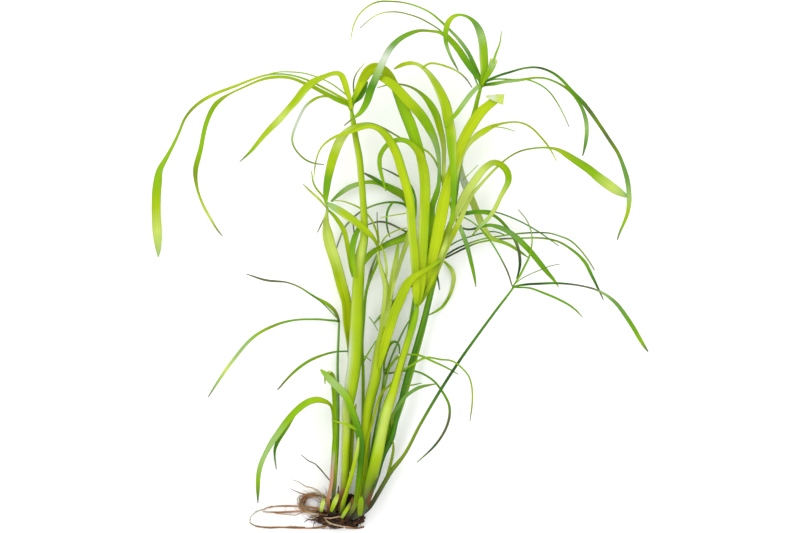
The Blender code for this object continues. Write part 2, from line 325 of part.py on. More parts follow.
def list_crown():
    """The bright leaves of the middle, those of the top head and what lies over them."""
    leaf("leaf_right_sweep", "culm_bright", -2, 8, 12, GREEN, [
        (420, 303, 3), (428, 290, 3), (436, 275, 3.4), (441, 262, 5), (446, 249, 5.5), (452, 236, 6),
        (458, 224, 6), (463, 213, 5.2), (468, 201, 5), (473, 193, 4), (480, 185, 3), (490, 174, 2.5),
        (497, 167, 2.2), (505, 160, 1.8), (513, 154.5, 1.7), (522, 150.5, 1.7), (532, 148.5, 1.7),
        (542, 147.5, 1.8), (552, 148, 2.4), (558, 149.5, 3.6), (567, 154.5, 6), (577, 161, 7),
        (587, 167.5, 8), (597, 176, 9.6), (607, 183.5, 10.4), (617, 190.5, 9.2), (626, 195.5, 4.6),
        (629, 197, 1.5)])
    leaf("leaf_right_hairpin", "culm_bright", -1, 9, 23, LIME, [
        (418.5, 303.5, 3), (426, 294, 3.6), (432, 285, 4), (437, 265, 5), (441, 250, 6), (446, 235, 6),
        (451, 223, 6), (456, 213, 7), (461, 203, 8.5), (466, 193, 8.5), (471, 186, 8), (476, 179, 8),
        (482, 171, 7.5), (488, 165, 6.5), (494, 162, 5.5), (500, 164, 6), (505, 168, 6.5), (508.5, 175, 6.5),
        (508.5, 182, 6), (505, 189, 5), (500, 198, 4), (496, 207, 4), (491, 215, 4), (485, 222, 4),
        (479, 227, 3.5), (471, 237, 1)])
    leaf("leaf_across_left", "culm_dark", 6, 8, 26, GREEN, [
        (453, 214.5, 2), (448, 198, 2), (442, 182, 2), (438, 168, 2), (433, 158, 2), (426, 151, 2),
        (415, 146, 1.9), (403, 140, 1.8), (393, 134, 1.8), (382, 128, 2), (370, 124, 2.5), (360, 125, 3.2),
        (352, 128.5, 5.5), (345, 134.5, 8), (339, 143, 9.5), (334.5, 154, 9.5), (331, 166, 9), (328, 179, 8),
        (326.5, 190, 7), (325.8, 199, 4.8), (326, 204, 1.8)])
    leaf("leaf_crown_back", "culm_bright", 1, 6, 26, GREEN, [
        (420, 302.5, 4), (430, 280, 4.5), (438, 245, 5), (443, 220, 5), (445, 200, 4.5), (444, 185, 5),
        (443.5, 170, 4), (443.5, 160, 3.8), (443.5, 150, 4.5), (442, 138, 6), (439.5, 128, 7),
        (436, 115, 7.6), (431, 106, 7), (425, 98, 5), (418, 91.5, 3), (410, 87, 2.2), (400, 84.5, 1.8),
        (390, 84.5, 1.8), (377, 88, 1)])
    leaf("leaf_head_dark", "culm_left", 2, 3, 40, GREEN, [
        (353, 103, 3.4), (359.5, 97, 7.4), (364, 89, 6.4), (367.5, 82, 2)])
    leaf("leaf_head_dark_fine", "leaf_head_dark", 0, 3, 44, BLUE_GREEN, [
        (355.6, 100.5, 2), (353.6, 89, 1.7), (354, 80, 1.6), (357, 73, 1.4), (365, 64, 0.9)],
        node="leaf_head_dark")
    leaf("leaf_head_right", "culm_left", 4, 14, 40, LIME, [
        (352.5, 102, 4), (357, 93, 6.5), (362, 82, 8.6), (367.5, 72.5, 10), (374, 68, 10), (382, 69.5, 9),
        (389, 75, 8), (394, 84, 8), (399, 96, 10), (404, 110, 11), (409, 122, 12), (414, 135, 11),
        (418, 147, 10), (422, 160, 8), (424, 172, 3)])
    leaf("leaf_crown_arch", "culm_bright", 2, 6, 28, LIME, [
        (419, 302.5, 4), (426, 280, 5), (430, 250, 5.5), (432, 225, 6), (432.5, 205, 6), (436, 195, 6),
        (438.6, 185, 4.4), (439, 175, 3.4), (438.6, 162, 3.6), (437, 150, 5), (434, 140, 6.8),
        (429.6, 130, 9), (424, 120, 10), (416, 110, 10), (408, 102, 10), (400, 93, 10), (392, 85, 9.5),
        (384, 80, 7.5), (376, 77, 3)])
    leaf("leaf_crown_folded", "culm_bright", 3, 4, 38, LIME, [
        (420.5, 302, 4.5), (424, 292, 9), (431, 265, 11.5), (438, 232, 12.5), (443, 205, 12.5),
        (447, 188, 11), (452, 170, 9), (457, 155, 10), (463, 140, 10.5), (469.5, 128, 11), (475, 120, 11),
        (481, 112, 11), (488, 106, 9), (494, 101, 9), (499, 97, 7)])
    leaf("leaf_crown_tall", "culm_bright", 4, 4, 34, GREEN, [
        (421, 302, 4), (430, 285, 4.2), (440, 258, 4.5), (448, 235, 4.5), (452, 218, 4.7), (453, 205, 5),
        (453.5, 190, 6), (453.5, 175, 6.2), (452.5, 160, 7.5), (451.5, 150, 9), (451, 140, 10.5),
        (450, 130, 10.5), (448, 120, 11), (446, 108, 10.5), (441, 95, 9), (434, 82, 7), (426, 71, 4.5),
        (417, 64.5, 3.2), (408, 63.5, 4.2), (400, 66, 4.2), (394, 69.5, 1.4)])
    leaf("leaf_crown_tall_side", "leaf_crown_tall", 0, 3, 36, OLIVE, [
        (423, 68, 2.6), (428, 64, 2.2), (438, 64.5, 2), (448, 67.5, 2), (457, 71.5, 1.8), (465, 78, 1.6),
        (472, 88, 0.9)], node="leaf_crown_tall")
    leaf("leaf_crown_front", "culm_bright", 5, 3, 24, LIME, [
        (418, 302.5, 5), (420, 292, 8), (421, 280, 10), (421.5, 260, 11), (423, 240, 11), (424, 220, 11),
        (425, 200, 10.5), (425, 185, 10.5), (423.5, 170, 10.5), (420.5, 158, 9), (415, 149, 6),
        (408, 142.5, 5), (400, 140.5, 5), (391, 143, 5.3), (384, 149, 5), (380, 157, 4.5), (380, 167, 4),
        (382.5, 178, 3), (386, 191, 1.4)])
    leaf("leaf_head_front", "culm_left", 5, 16, 8, LIME, [
        (350.5, 101.5, 4), (346.8, 90, 6), (343.6, 79.5, 6.4), (340, 74.3, 5.2), (334, 74.2, 4.6),
        (325, 77.5, 5), (317, 81, 6.5), (311, 84.5, 7.8), (305, 90, 8), (297.5, 100, 7.5),
        (288.5, 110, 6.5), (279.5, 120, 7), (269.5, 130, 6.2), (260.5, 140, 5), (252, 150, 3.6),
        (239, 162, 0.8)])
    leaf("leaf_crown_left", "culm_bright", 6, 4, 30, LIME, [
        (416, 303, 5), (416, 290, 8), (415, 265, 8.5), (414, 250, 9), (412.5, 235, 9), (411.5, 220, 9),
        (410.5, 205, 9.3), (407.5, 190, 9.5), (404, 178, 9.5), (401, 168, 9.5), (397, 155, 9),
        (392, 145, 8.6), (386, 136, 7.5), (378, 129, 6), (370, 126.5, 5), (362, 128.5, 4.5), (355, 131, 4),
        (348, 133.5, 3), (340, 135.5, 3), (333, 138.5, 2.5), (326, 143, 2), (320, 150, 1.7),
        (317, 158, 1.5), (315, 167, 1.4), (314, 178, 0.9)])
    leaf("leaf_middle_bright", "culm_middle", 1, 4, 48, LIME, [
        (378.6, 370, 2.4), (381.6, 358, 6), (384, 347, 8.6), (386.8, 337, 9.4), (390.6, 325, 9.6),
        (395, 311, 10), (400, 300, 10), (404, 290, 10),
        (409, 281, 8.5), (415, 275.5, 6), (425, 270, 5), (433, 265, 4), (441, 260, 2)])
    leaf("leaf_top_right_fine", "culm_tall", 0, 8, 12, DARK_GREEN, [
        (480.3, 89, 1.6), (485, 82.5, 1.7), (495, 79.5, 1.6), (505, 79.5, 1.6), (515, 80, 1.6),
        (525, 79.5, 1.6), (535, 82.5, 1.6), (545, 88, 1.6), (552, 95, 1.6), (558, 104, 1.5),
        (563, 113, 1.4), (569.5, 127, 0.9)],
        node="culm_tall")
    leaf("leaf_top_right_inner", "culm_tall", -1, 12, 8, DARK_GREEN, [
        (484, 85, 3), (495, 84, 4), (505, 82, 3), (515, 81, 3), (525, 79.5, 2.5), (535, 78, 2.1),
        (545, 78.5, 2), (555, 82, 2), (565, 87.5, 2.5), (572, 93, 3), (578, 101, 3), (583, 110, 3.5),
        (586, 120, 4.5), (587, 130, 4.5), (586, 142, 4), (583, 156, 1)])
    leaf("leaf_top_right_long", "culm_tall", 1, 16, 0.3, DARK_GREEN, [
        (483.5, 82.5, 2.4), (490, 79.5, 2.5), (500, 75.5, 2.5), (510, 72.5, 2.2), (520, 69.5, 2.1),
        (528, 68, 2.1), (538, 68, 2.1), (548, 71, 2.5), (558, 77, 3), (566, 85, 3), (574, 94, 3.5),
        (582, 102, 4), (590, 112, 4), (600, 126, 3.6), (610, 141, 3.5), (618, 153, 3.5), (623, 165, 4),
        (627, 178, 5), (629, 190, 5), (629.5, 202, 5), (628, 213, 4), (624, 224, 3), (620, 233, 2),
        (618, 240, 1)])
    leaf("leaf_top_fine", "culm_tall", 0, 4, 20, DARK_GREEN, [
        (479.8, 91, 1.6), (470, 68, 1.8), (458, 52, 1.7), (446, 36.5, 1.6), (438, 29, 1.6), (430, 24, 1.6),
        (420, 18.5, 1.6), (410, 15, 1.5), (400, 12.5, 1.5), (390, 12, 1.4), (382, 13, 1.4), (374, 16.5, 1.3),
        (360, 28, 0.9)], node="culm_tall")
    leaf("leaf_top_outer", "culm_tall", 2, 8, 12, DARK_GREEN, [
        (481, 81, 3.2), (474, 65, 4), (468, 53, 4), (461, 43, 4), (453, 34, 3.2), (446, 27, 2.6),
        (438, 19.5, 2.2), (430, 13, 1.9), (420, 8, 1.8), (410, 4.5, 1.7), (400, 2.4, 1.7), (390, 1.7, 1.8),
        (380, 1.6, 2), (372, 4, 1.9), (364, 9.5, 1.8), (358, 16, 1.7), (354, 24, 1.5), (350.5, 39.5, 0.9)])
    leaf("leaf_top_long", "culm_tall", 3, 8, 44, GREEN, [
        (480.5, 81, 4), (472, 70, 6.6), (465, 60, 7), (458, 50, 6.5), (451, 42, 6), (445, 36, 5),
        (440, 33.5, 3.2), (430, 32, 2.4), (420, 31.5, 2.8), (410, 34.5, 4.5), (400, 40, 5.6),
        (392, 47.5, 6.6), (388, 53, 7), (384.5, 60, 7.2), (380, 70, 7.8), (375.5, 80, 8), (371, 90, 8),
        (368, 100, 7.4), (363, 110, 5.6), (359, 115, 4), (353, 119, 2), (344.5, 126, 1)])
    leaf("leaf_top_loop", "culm_tall", 4, 14, 46, DARK_GREEN, [
        (482.5, 80.5, 4.5), (484, 70, 8), (483.5, 60, 9), (483, 50, 8.6), (481.5, 40, 8.4), (479, 32, 7.6),
        (475, 25, 5.4), (469, 19, 3.2), (463, 16.5, 2.8), (458, 16, 3), (452, 18.5, 4.6), (448, 24, 5.8),
        (446, 31, 5.6), (445.5, 39, 4.6), (447, 48, 3.6), (450, 56, 2.8), (454, 64, 2.2), (458, 71, 1)])
    leaf("leaf_top_stub", "culm_tall", 5, 3, 50, PALE_GREEN, [
        (483.5, 81, 3), (486, 78, 5), (489, 72, 6.4), (492, 66, 7.6), (493.5, 60, 8)])
    leaf("leaf_top_stub_fine", "leaf_top_stub", 0, 2, 52, GREEN, [
        (492.5, 64, 3), (496, 53, 2.2), (499, 46, 1.8), (501, 32, 0.9)], node="leaf_top_stub")
    leaf("leaf_top_down", "culm_tall", 6, 5, 48, PALE_GREEN, [
        (480, 85, 4), (472, 93, 5), (465, 102, 5), (458, 112, 4.5), (451, 120, 4), (444, 128, 1)])


def flow(route):
    """Evenly spaced samples of a smooth line through the route: x, y and width in millimetres."""
    points = np.array(route, dtype=float)
    points[:, 0] -= SHEET_CENTRE[0]
    points[:, 1] = SHEET_CENTRE[1] - points[:, 1]
    knots = np.concatenate([[0.0], np.cumsum(np.hypot(*np.diff(points[:, :2], axis=0).T))])
    slopes = np.gradient(points[:, :2], knots, axis=0)
    at = np.linspace(0.0, knots[-1], 12 * len(points))
    span = np.clip(np.searchsorted(knots, at, side="right") - 1, 0, len(knots) - 2)
    length = knots[span + 1] - knots[span]
    part = ((at - knots[span]) / length)[:, None]
    length = length[:, None]
    line = ((1 + 2 * part) * (1 - part) ** 2 * points[span, :2]
            + part * (1 - part) ** 2 * length * slopes[span]
            + part ** 2 * (3 - 2 * part) * points[span + 1, :2]
            + part ** 2 * (part - 1) * length * slopes[span + 1])
    run = np.concatenate([[0.0], np.cumsum(np.hypot(*np.diff(line, axis=0).T))])
    even = np.linspace(0.0, run[-1], max(4, round(run[-1] / STEP) + 1))
    return (even, np.interp(even, run, line[:, 0]), np.interp(even, run, line[:, 1]),
            np.interp(even, run, np.interp(at, knots, points[:, 2])))


class Laid:
    """A strand with its samples: place, true width, turn about its length and half height."""

    def __init__(self, strand):
        self.strand = strand
        self.run, self.x, self.y, seen = flow(strand.route)
        self.half_seen = seen / 2
        self.width = seen.copy()
        self.turn = np.zeros_like(seen)
        if strand.form == "leaf":
            flat = CROWN_FLAT_START if strand.host == "culm_bright" else 0.0
            ramp = max(FLAT_START, 0.18 * self.run[-1])
            ends = np.minimum((self.run - flat) / ramp, (self.run[-1] - self.run) / ramp)
            full = seen.max() * np.clip(ends, 0.0, 1.0)
            widest = seen / math.cos(math.radians(MOST_TURN))
            self.width = np.clip(full, seen, widest)
            self.turn = np.arccos(np.clip(seen / self.width, 0.0, 1.0))
            self.thickness = np.minimum(LEAF_THICKNESS, TIP_THICKNESS + 0.05 * (self.run[-1] - self.run))
            if strand.host and strand.level == 0:
                self.thickness = np.minimum(self.thickness, JOINED_THICKNESS + 0.05 * self.run)
            self.half_height = (self.width * np.sin(self.turn) + self.thickness) / 2
            self.half_seen = self.half_seen + 0.3 * np.sin(self.turn)
        else:
            self.half_height = seen / 2
        self.z = None

    def nearest(self, x, y):
        return int(np.argmin(np.hypot(self.x - x, self.y - y)))


def in_lump(laid):
    """Which samples lie inside the rootstock, where strands may meet."""
    place = (laid.x + SHEET_CENTRE[0], SHEET_CENTRE[1] - laid.y, laid.z)
    reach = sum(((place[k] - LUMP_CENTRE[k]) / LUMP_HALF[k]) ** 2 for k in range(3))
    return reach < 0.75


def wanted_heights(laid, by_name):
    """The heights that a strand would have with nothing under it."""
    strand = laid.strand
    part = laid.run / laid.run[-1]
    if strand.form == "root":
        return laid.half_height + (strand.base - laid.half_height) * np.exp(-laid.run / 9.0)
    if strand.host is None:
        start = strand.base
    else:
        host = by_name[strand.host]
        k = host.nearest(laid.x[0], laid.y[0])
        start = host.z[k]
        if strand.level:
            away = host.half_height[k] + GAP + LEAF_THICKNESS / 2 + (abs(strand.level) - 1) * LEVEL_PITCH
            start += math.copysign(away, strand.level)
    arch = strand.rise * np.sin(math.pi * part ** 0.85)
    ease = part if strand.form == "culm" else part ** 1.3
    return start + (strand.tip - start) * ease + arch


def joint_zone(laid, other):
    """Where two strands meet at a joint: a leaf at its host, or two leaves of one head."""
    mine, theirs = laid.strand, other.strand
    if mine.host == theirs.name:
        reach = JOINED_REACH if mine.level == 0 else HEAD_REACH
        return np.repeat((laid.run < reach)[:, None], len(other.run), axis=1)
    if theirs.host == mine.name:
        reach = JOINED_REACH if theirs.level == 0 else HEAD_REACH
        return np.repeat((other.run < reach)[None, :], len(laid.run), axis=0)
    if mine.host and mine.host == theirs.host:
        reach = JOINED_REACH if mine.level == theirs.level == 0 else HEAD_REACH
        return (laid.run < reach)[:, None] & (other.run < reach)[None, :]
    return np.zeros((len(laid.run), len(other.run)), dtype=bool)


def lay(laid, below):
    """Raises a strand smoothly until it clears the surface and every strand below it."""
    start = laid.z[0]
    least = laid.half_height.copy()
    free = ~in_lump(laid)
    for other in below:
        near = np.hypot(laid.x[:, None] - other.x, laid.y[:, None] - other.y)
        touch = near < laid.half_seen[:, None] + other.half_seen + SIDE_MARGIN
        touch &= free[:, None] & ~in_lump(other)
        touch &= ~joint_zone(laid, other)
        need = np.where(touch, other.z + other.half_height, -1.0).max(axis=1)
        least = np.maximum(least, np.where(need > 0, need + laid.half_height + GAP, 0.0))
    for _ in range(400):
        short = least - laid.z
        k = int(np.argmax(short))
        if short[k] < 1e-3:
            break
        laid.z = laid.z + short[k] * np.exp(-((laid.run - laid.run[k]) / BUMP_REACH) ** 2 / 2)
    if laid.strand.host:
        part = np.clip(laid.run / HEAD_REACH, 0.0, 1.0)
        laid.z = start + (laid.z - start) * part ** 2 * (3 - 2 * part)


def lay_all():
    """All the strands with their heights."""
    laid = [Laid(strand) for strand in STRANDS]
    by_name = {one.strand.name: one for one in laid}
    for one in laid:
        one.z = np.full_like(one.run, one.strand.base or 20.0)
    for _ in range(ROUNDS):
        for k, one in enumerate(laid):
            one.z = wanted_heights(one, by_name)
            lay(one, laid[:k])
    return laid


def principled(name, colour, roughness):
    """A plain material in the piece's own colour."""
    material = bpy.data.materials.new(name)
    material.use_nodes = True
    shader = material.node_tree.nodes["Principled BSDF"]
    shader.inputs["Base Color"].default_value = (*colour, 1.0)
    shader.inputs["Roughness"].default_value = roughness
    shader.inputs["Metallic"].default_value = 0.0
    material.diffuse_color = (*colour, 1.0)
    return material


def stations(laid):
    """Places along a strand for its cross-sections, closer at bends, and a reader of sampled values."""
    line = np.stack([laid.x, laid.y, laid.z], axis=1)
    along = np.gradient(line, laid.run, axis=0)
    along /= np.linalg.norm(along, axis=1)[:, None]
    bend = np.linalg.norm(np.gradient(along, laid.run, axis=0), axis=1)
    spacing = np.clip(np.sqrt(8 * CHORD_ERROR / np.maximum(bend, 1e-6)), SHORT_STATION, LONG_STATION)
    tally = np.concatenate([[0.0], np.cumsum(np.diff(laid.run) * (1 / spacing[1:] + 1 / spacing[:-1]) / 2)])
    count = max(4, math.ceil(tally[-1]) + 1)
    at = np.interp(np.linspace(0.0, tally[-1], count), tally, laid.run)
    return at, lambda values: np.interp(at, laid.run, values)


def closed_mesh(mesh, name):
    """Turns a closed bmesh into a mesh whose faces point out."""
    bmesh.ops.recalc_face_normals(mesh, faces=mesh.faces[:])
    if mesh.calc_volume(signed=True) < 0:
        bmesh.ops.reverse_faces(mesh, faces=mesh.faces[:])
    data = bpy.data.meshes.new(name)
    mesh.to_mesh(data)
    mesh.free()
    return data


def section_corners(ring, frame):
    """A blade section's two corners on the leaf's rims, and its two on the ridges between them."""
    to_section = frame.inverted()
    rims = {vert for vert in ring if abs((to_section @ vert.co).x) > 0.5}
    return rims, set(ring) - rims


def blade_mesh(laid):
    """A leaf: a flat four-sided section drawn along its route, turned and widened as it goes. Every face is
    split from its rim to the ridge ahead, so that the two sides of a twisted blade never cross."""
    at, read = stations(laid)
    centre = np.stack([read(laid.x), read(laid.y), read(laid.z)], axis=1) * MM
    along = np.gradient(centre, at, axis=0)
    half_width, turn, thickness = read(laid.width) / 2, read(laid.turn), read(laid.thickness)
    frames = []
    for k in range(len(at)):
        forward = Vector(along[k]).normalized()
        side = forward.cross(Vector((0.0, 0.0, 1.0))).normalized()
        side = Matrix.Rotation(turn[k], 3, forward) @ side
        frames.append(Matrix((side * half_width[k] * MM, side.cross(forward) * thickness[k] / 2 * MM,
                              forward * MM)).transposed().to_4x4())
        frames[-1].translation = Vector(centre[k])
    mesh = bmesh.new()
    ring = bmesh.ops.create_circle(mesh, segments=4, radius=1.0, cap_ends=False, matrix=frames[0])["verts"]
    edges = list({edge for vert in ring for edge in vert.link_edges})
    rims = section_corners(ring, frames[0])[0]
    for before, after in zip(frames, frames[1:]):
        grown = bmesh.ops.extrude_edge_only(mesh, edges=edges)["geom"]
        ring = [part for part in grown if isinstance(part, bmesh.types.BMVert)]
        edges = [part for part in grown if isinstance(part, bmesh.types.BMEdge)
                 and part.verts[0] in ring and part.verts[1] in ring]
        bmesh.ops.transform(mesh, matrix=after @ before.inverted(), verts=ring)
        rims_ahead, ridges_ahead = section_corners(ring, after)
        for face in [part for part in grown if isinstance(part, bmesh.types.BMFace)]:
            rim = next(vert for vert in face.verts if vert in rims)
            ridge = next(vert for vert in face.verts if vert in ridges_ahead)
            bmesh.utils.face_split(face, rim, ridge)
        rims = rims_ahead
    bmesh.ops.holes_fill(mesh, edges=mesh.edges[:], sides=4)
    return closed_mesh(mesh, laid.strand.name)


def tube_mesh(laid):
    """A culm or root: a curve with a round bevel that follows its width, made a mesh."""
    at, read = stations(laid)
    x, y, z, radius = read(laid.x), read(laid.y), read(laid.z), read(laid.width) / 2
    curve = bpy.data.curves.new(laid.strand.name, "CURVE")
    curve.dimensions = "3D"
    curve.bevel_depth = MM
    curve.bevel_resolution = 2 if radius.max() * 2 > STOUT_CULM else 1
    curve.use_fill_caps = True
    spline = curve.splines.new("POLY")
    spline.points.add(len(at) - 1)
    for k, point in enumerate(spline.points):
        point.co = (x[k] * MM, y[k] * MM, z[k] * MM, 1.0)
        point.radius = radius[k]
    holder = bpy.data.objects.new("tube_guide", curve)
    bpy.context.scene.collection.objects.link(holder)
    evaluated = holder.evaluated_get(bpy.context.evaluated_depsgraph_get())
    data = bpy.data.meshes.new_from_object(evaluated)
    bpy.data.objects.remove(holder)
    bpy.data.curves.remove(curve)
    mesh = bmesh.new()
    mesh.from_mesh(data)
    bmesh.ops.remove_doubles(mesh, verts=mesh.verts[:], dist=1e-6)
    bpy.data.meshes.remove(data)
    return closed_mesh(mesh, laid.strand.name)


def lump_mesh(name, grow, subdivisions=3):
    """The rootstock's lump: a rough ellipsoid, flat underneath. grow widens it on every side."""
    mesh = bmesh.new()
    bmesh.ops.create_icosphere(mesh, subdivisions=subdivisions, radius=1.0)
    for vert in mesh.verts:
        waves = noise.noise(vert.co * 2.6) + 0.5 * noise.noise(vert.co * 6.0)
        rough = 1.0 + LUMP_ROUGHNESS * waves
        vert.co = Vector([vert.co[k] * (LUMP_HALF[k] * rough + grow) for k in range(3)]) * MM
    place = Vector((LUMP_CENTRE[0] - SHEET_CENTRE[0], SHEET_CENTRE[1] - LUMP_CENTRE[1], LUMP_CENTRE[2])) * MM
    bmesh.ops.translate(mesh, verts=mesh.verts[:], vec=place)
    bmesh.ops.bisect_plane(mesh, geom=mesh.verts[:] + mesh.edges[:] + mesh.faces[:], dist=1e-7,
                           plane_co=(0.0, 0.0, -grow * MM), plane_no=(0.0, 0.0, -1.0), clear_outer=True)
    bmesh.ops.holes_fill(mesh, edges=mesh.edges[:], sides=0)
    return closed_mesh(mesh, name)


def combine(body, other, operation):
    """Joins another mesh to the object's, or cuts it away, and keeps one mesh."""
    tool = bpy.data.objects.new("tool_guide", other)
    bpy.context.scene.collection.objects.link(tool)
    step = body.modifiers.new("combine", "BOOLEAN")
    step.operation = operation
    step.solver = "EXACT"
    step.object = tool
    evaluated = body.evaluated_get(bpy.context.evaluated_depsgraph_get())
    data = bpy.data.meshes.new_from_object(evaluated)
    body.modifiers.clear()
    old = body.data
    body.data = data
    bpy.data.meshes.remove(old)
    bpy.data.objects.remove(tool)
    bpy.data.meshes.remove(other)


def main():
    for old in list(bpy.data.objects):
        bpy.data.objects.remove(old)
    list_roots()
    list_hidden_leaves()
    list_left_back()
    list_right_side()
    list_left_front()
    list_crown()
    parts = bpy.data.collections.new("umbrella_sedge")
    bpy.context.scene.collection.children.link(parts)
    laid = lay_all()

    bodies = {}
    rootstock = bpy.data.objects.new("rootstock", lump_mesh("rootstock", 0.0))
    parts.objects.link(rootstock)
    bodies["rootstock"] = rootstock
    for one in sorted(laid, key=lambda one: one.strand.node != one.strand.name):
        data = blade_mesh(one) if one.strand.form == "leaf" else tube_mesh(one)
        if one.strand.node in bodies:
            combine(bodies[one.strand.node], data, "UNION")
        else:
            body = bpy.data.objects.new(one.strand.node, data)
            parts.objects.link(body)
            bodies[one.strand.node] = body
        if one.strand.host is None and one.strand.form != "root":
            combine(bodies[one.strand.node], lump_mesh("socket", SOCKET_GAP), "DIFFERENCE")

    colours = {one.strand.node: one.strand.colour for one in reversed(laid)}
    for one in laid:
        if one.strand.node == one.strand.name:
            colours[one.strand.node] = one.strand.colour
    for node, body in bodies.items():
        body.data.materials.clear()
        body.data.materials.append(principled(node, colours[node], 0.8 if node == "rootstock" else 0.45))
        body.data.shade_smooth()
        body.data.set_sharp_from_angle(angle=math.radians(35))


main()
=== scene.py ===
"""Looks for a bare-root umbrella sedge that lies on its back on a pale surface.

Each culm, leaf and root is a strand, with a route on a plan sheet in millimetres, x to the right and
y down. The routes and the way they are laid over each other are those of the solids, so every fine
strand lies along the solid that it stands for. Tints along a strand are letters of the palette. After a
bar come letters for the strand's two edges, which are partly their own colour and partly painted light:
one side lit or with sheen, the other side shaded.
"""
import math
import random
from collections import namedtuple

import bmesh
import bpy
import numpy as np
from mathutils import Matrix, Vector, noise


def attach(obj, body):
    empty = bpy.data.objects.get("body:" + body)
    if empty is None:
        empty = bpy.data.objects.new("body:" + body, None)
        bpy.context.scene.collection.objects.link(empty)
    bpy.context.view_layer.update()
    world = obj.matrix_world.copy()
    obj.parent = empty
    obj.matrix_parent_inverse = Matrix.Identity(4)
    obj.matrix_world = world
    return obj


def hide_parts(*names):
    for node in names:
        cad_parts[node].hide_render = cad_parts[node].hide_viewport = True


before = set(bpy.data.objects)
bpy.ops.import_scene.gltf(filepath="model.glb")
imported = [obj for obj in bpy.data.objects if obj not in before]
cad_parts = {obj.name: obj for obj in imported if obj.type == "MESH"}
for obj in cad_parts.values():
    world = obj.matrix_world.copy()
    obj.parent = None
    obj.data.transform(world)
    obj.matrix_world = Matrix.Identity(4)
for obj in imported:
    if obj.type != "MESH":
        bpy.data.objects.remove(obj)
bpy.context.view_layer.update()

bl_info = {
    "name": "Umbrella Sedge Looks",
    "version": (1, 0, 0),
    "blender": (4, 5, 0),
    "location": "View3D > Sidebar > Sedge",
    "description": "Fine leaves, culms, roots and soil for a bare-root umbrella sedge",
    "category": "Object",
}

MM = 0.001
SHEET_CENTRE = (400.28, 265.32)

# The laying of the strands, as in the solids. Lengths are in millimetres, turns in degrees.
LEAF_THICKNESS = 1.1
TIP_THICKNESS = 0.6
JOINED_THICKNESS = 0.75
THICKENING = 0.05
MOST_TURN = 45.0
FLAT_START = 25.0
FLAT_SHARE = 0.18
CROWN_FLAT_START = 110.0
TURNED_MARGIN = 0.3
STEP = 4.0
SAMPLES_PER_POINT = 12
GAP = 0.5
SIDE_MARGIN = 1.2
BUMP_REACH = 16.0
MOST_BUMPS = 400
SHORT_ENOUGH = 1e-3
LEVEL_PITCH = 1.4
JOINED_REACH = 14.0
HEAD_REACH = 9.0
ROUNDS = 4
FIRST_HEIGHT = 20.0
ROOT_BASE = 7.0
ROOT_SETTLING = 9.0
ARCH_LEAN = 0.85
LEAF_EASE = 1.3
LUMP_CENTRE = (341.0, 518.0, 12.5)
LUMP_HALF = (27.0, 12.0, 15.0)
LUMP_INSIDE = 0.75

# Sections of the fine strands, in half widths
BLADE_POINTS = 14
CULM_POINTS = 16
ROOT_POINTS = 6
BLADE_HALF_THICKNESS = 0.055
BLADE_POINTEDNESS = 1.3
BLADE_FLATNESS = 3.0
KEEL = 0.22
NEARLY_UPRIGHT = 1e-4

# How a fine strand wavers along its line. Pitches are per millimetre, the sway is in radians.
HEART_REACH = 0.3
LINE_SMOOTHINGS = 3
SEED_SCALE = 0.37
WAVER_PITCH = 0.035
SWAY = 0.10
SWAY_PITCH = 0.03
SWAY_ROW = 7.0

# The grain of a strand's surface. Streaks and blotches are per metre, edges in half widths.
STREAKS_ACROSS = 900.0
STREAKS_ALONG = 22.0
BLOTCH_SCALE = 60.0
BLOTCH_DETAIL = 4.0
MIDRIB_EDGE = (0.04, 0.16)
RIM_EDGE = (0.72, 1.0)
VEIN_SHADE = 0.6
LEAST_ROUGHNESS = 0.30
STREAK_ROUGHNESS = 0.24
BUMP_DISTANCE = 0.0004
SPECULAR = 0.1
COAT_ROUGHNESS = 0.25

# The dark lumps of the crown: tints, centre and half sizes on the sheet, roughness at each fineness,
# the middle and swing of the mottle, and how the grain runs over them
CROWN_LUMPS = (("XXXRXX", (340.5, 519.0, 5.5), (23.0, 9.5, 6.5)),
               ("XXXR", (347.0, 506.0, 3.5), (18.0, 11.5, 4.5)))
CROWN_ROUGHNESS = ((2.2, 0.16), (6.0, 0.10), (15.0, 0.05))
CROWN_MOTTLE = 5.0
CROWN_SHADE = (0.5, 0.9)
CROWN_GRAIN = (0.5, 0.02, 0.004)

# Root hairs, in millimetres and radians. The centre and spread are across and down the sheet.
# Here and below, a plural name with two numbers gives the least and the most.
ROOT_SEED = 7
ROOT_STATION = 1.1
KNOT_SPARE = 1e-3
SHEET_FOOT = 529.6
HAIR_STEP = 1.4
HAIR_BEND = 0.28
HAIR_TAPER = 0.75
HAIR_SINKS = (0.4, 1.5)
HAIR_CENTRE = (339.0, 518.0)
HAIR_SPREAD = (22.0, 9.0)
HAIR_REACHES = (0.55, 0.95)
HAIR_HEIGHTS = (2.0, 13.0)
HAIR_RADII = (0.18, 0.5)
TRAILING_SIDE = 0.2
HAIR_LEAST = 6.0
HAIR_MOST_LEFT = 26.0
HAIR_MOST_RIGHT = 10.0
HAIR_FLATTENING = 0.35
HAIR_SCATTER = 0.35
HAIR_TINTS = ["RX", "NR", "XR", "HN", "RN", "XX", "NH"]

# Short hairs along the main roots, with the share of places left bare
SIDE_GAPS = 0.45
SIDE_LENGTHS = (2.0, 5.0)
SIDE_ANGLES = (0.3, 1.2)
SIDE_RADII = (0.12, 0.3)
SIDE_SCATTER = 0.5
SIDE_TINTS = ["NH", "NR", "HN", "RN"]
RING_SIDE_LENGTHS = (5.0, 12.0)

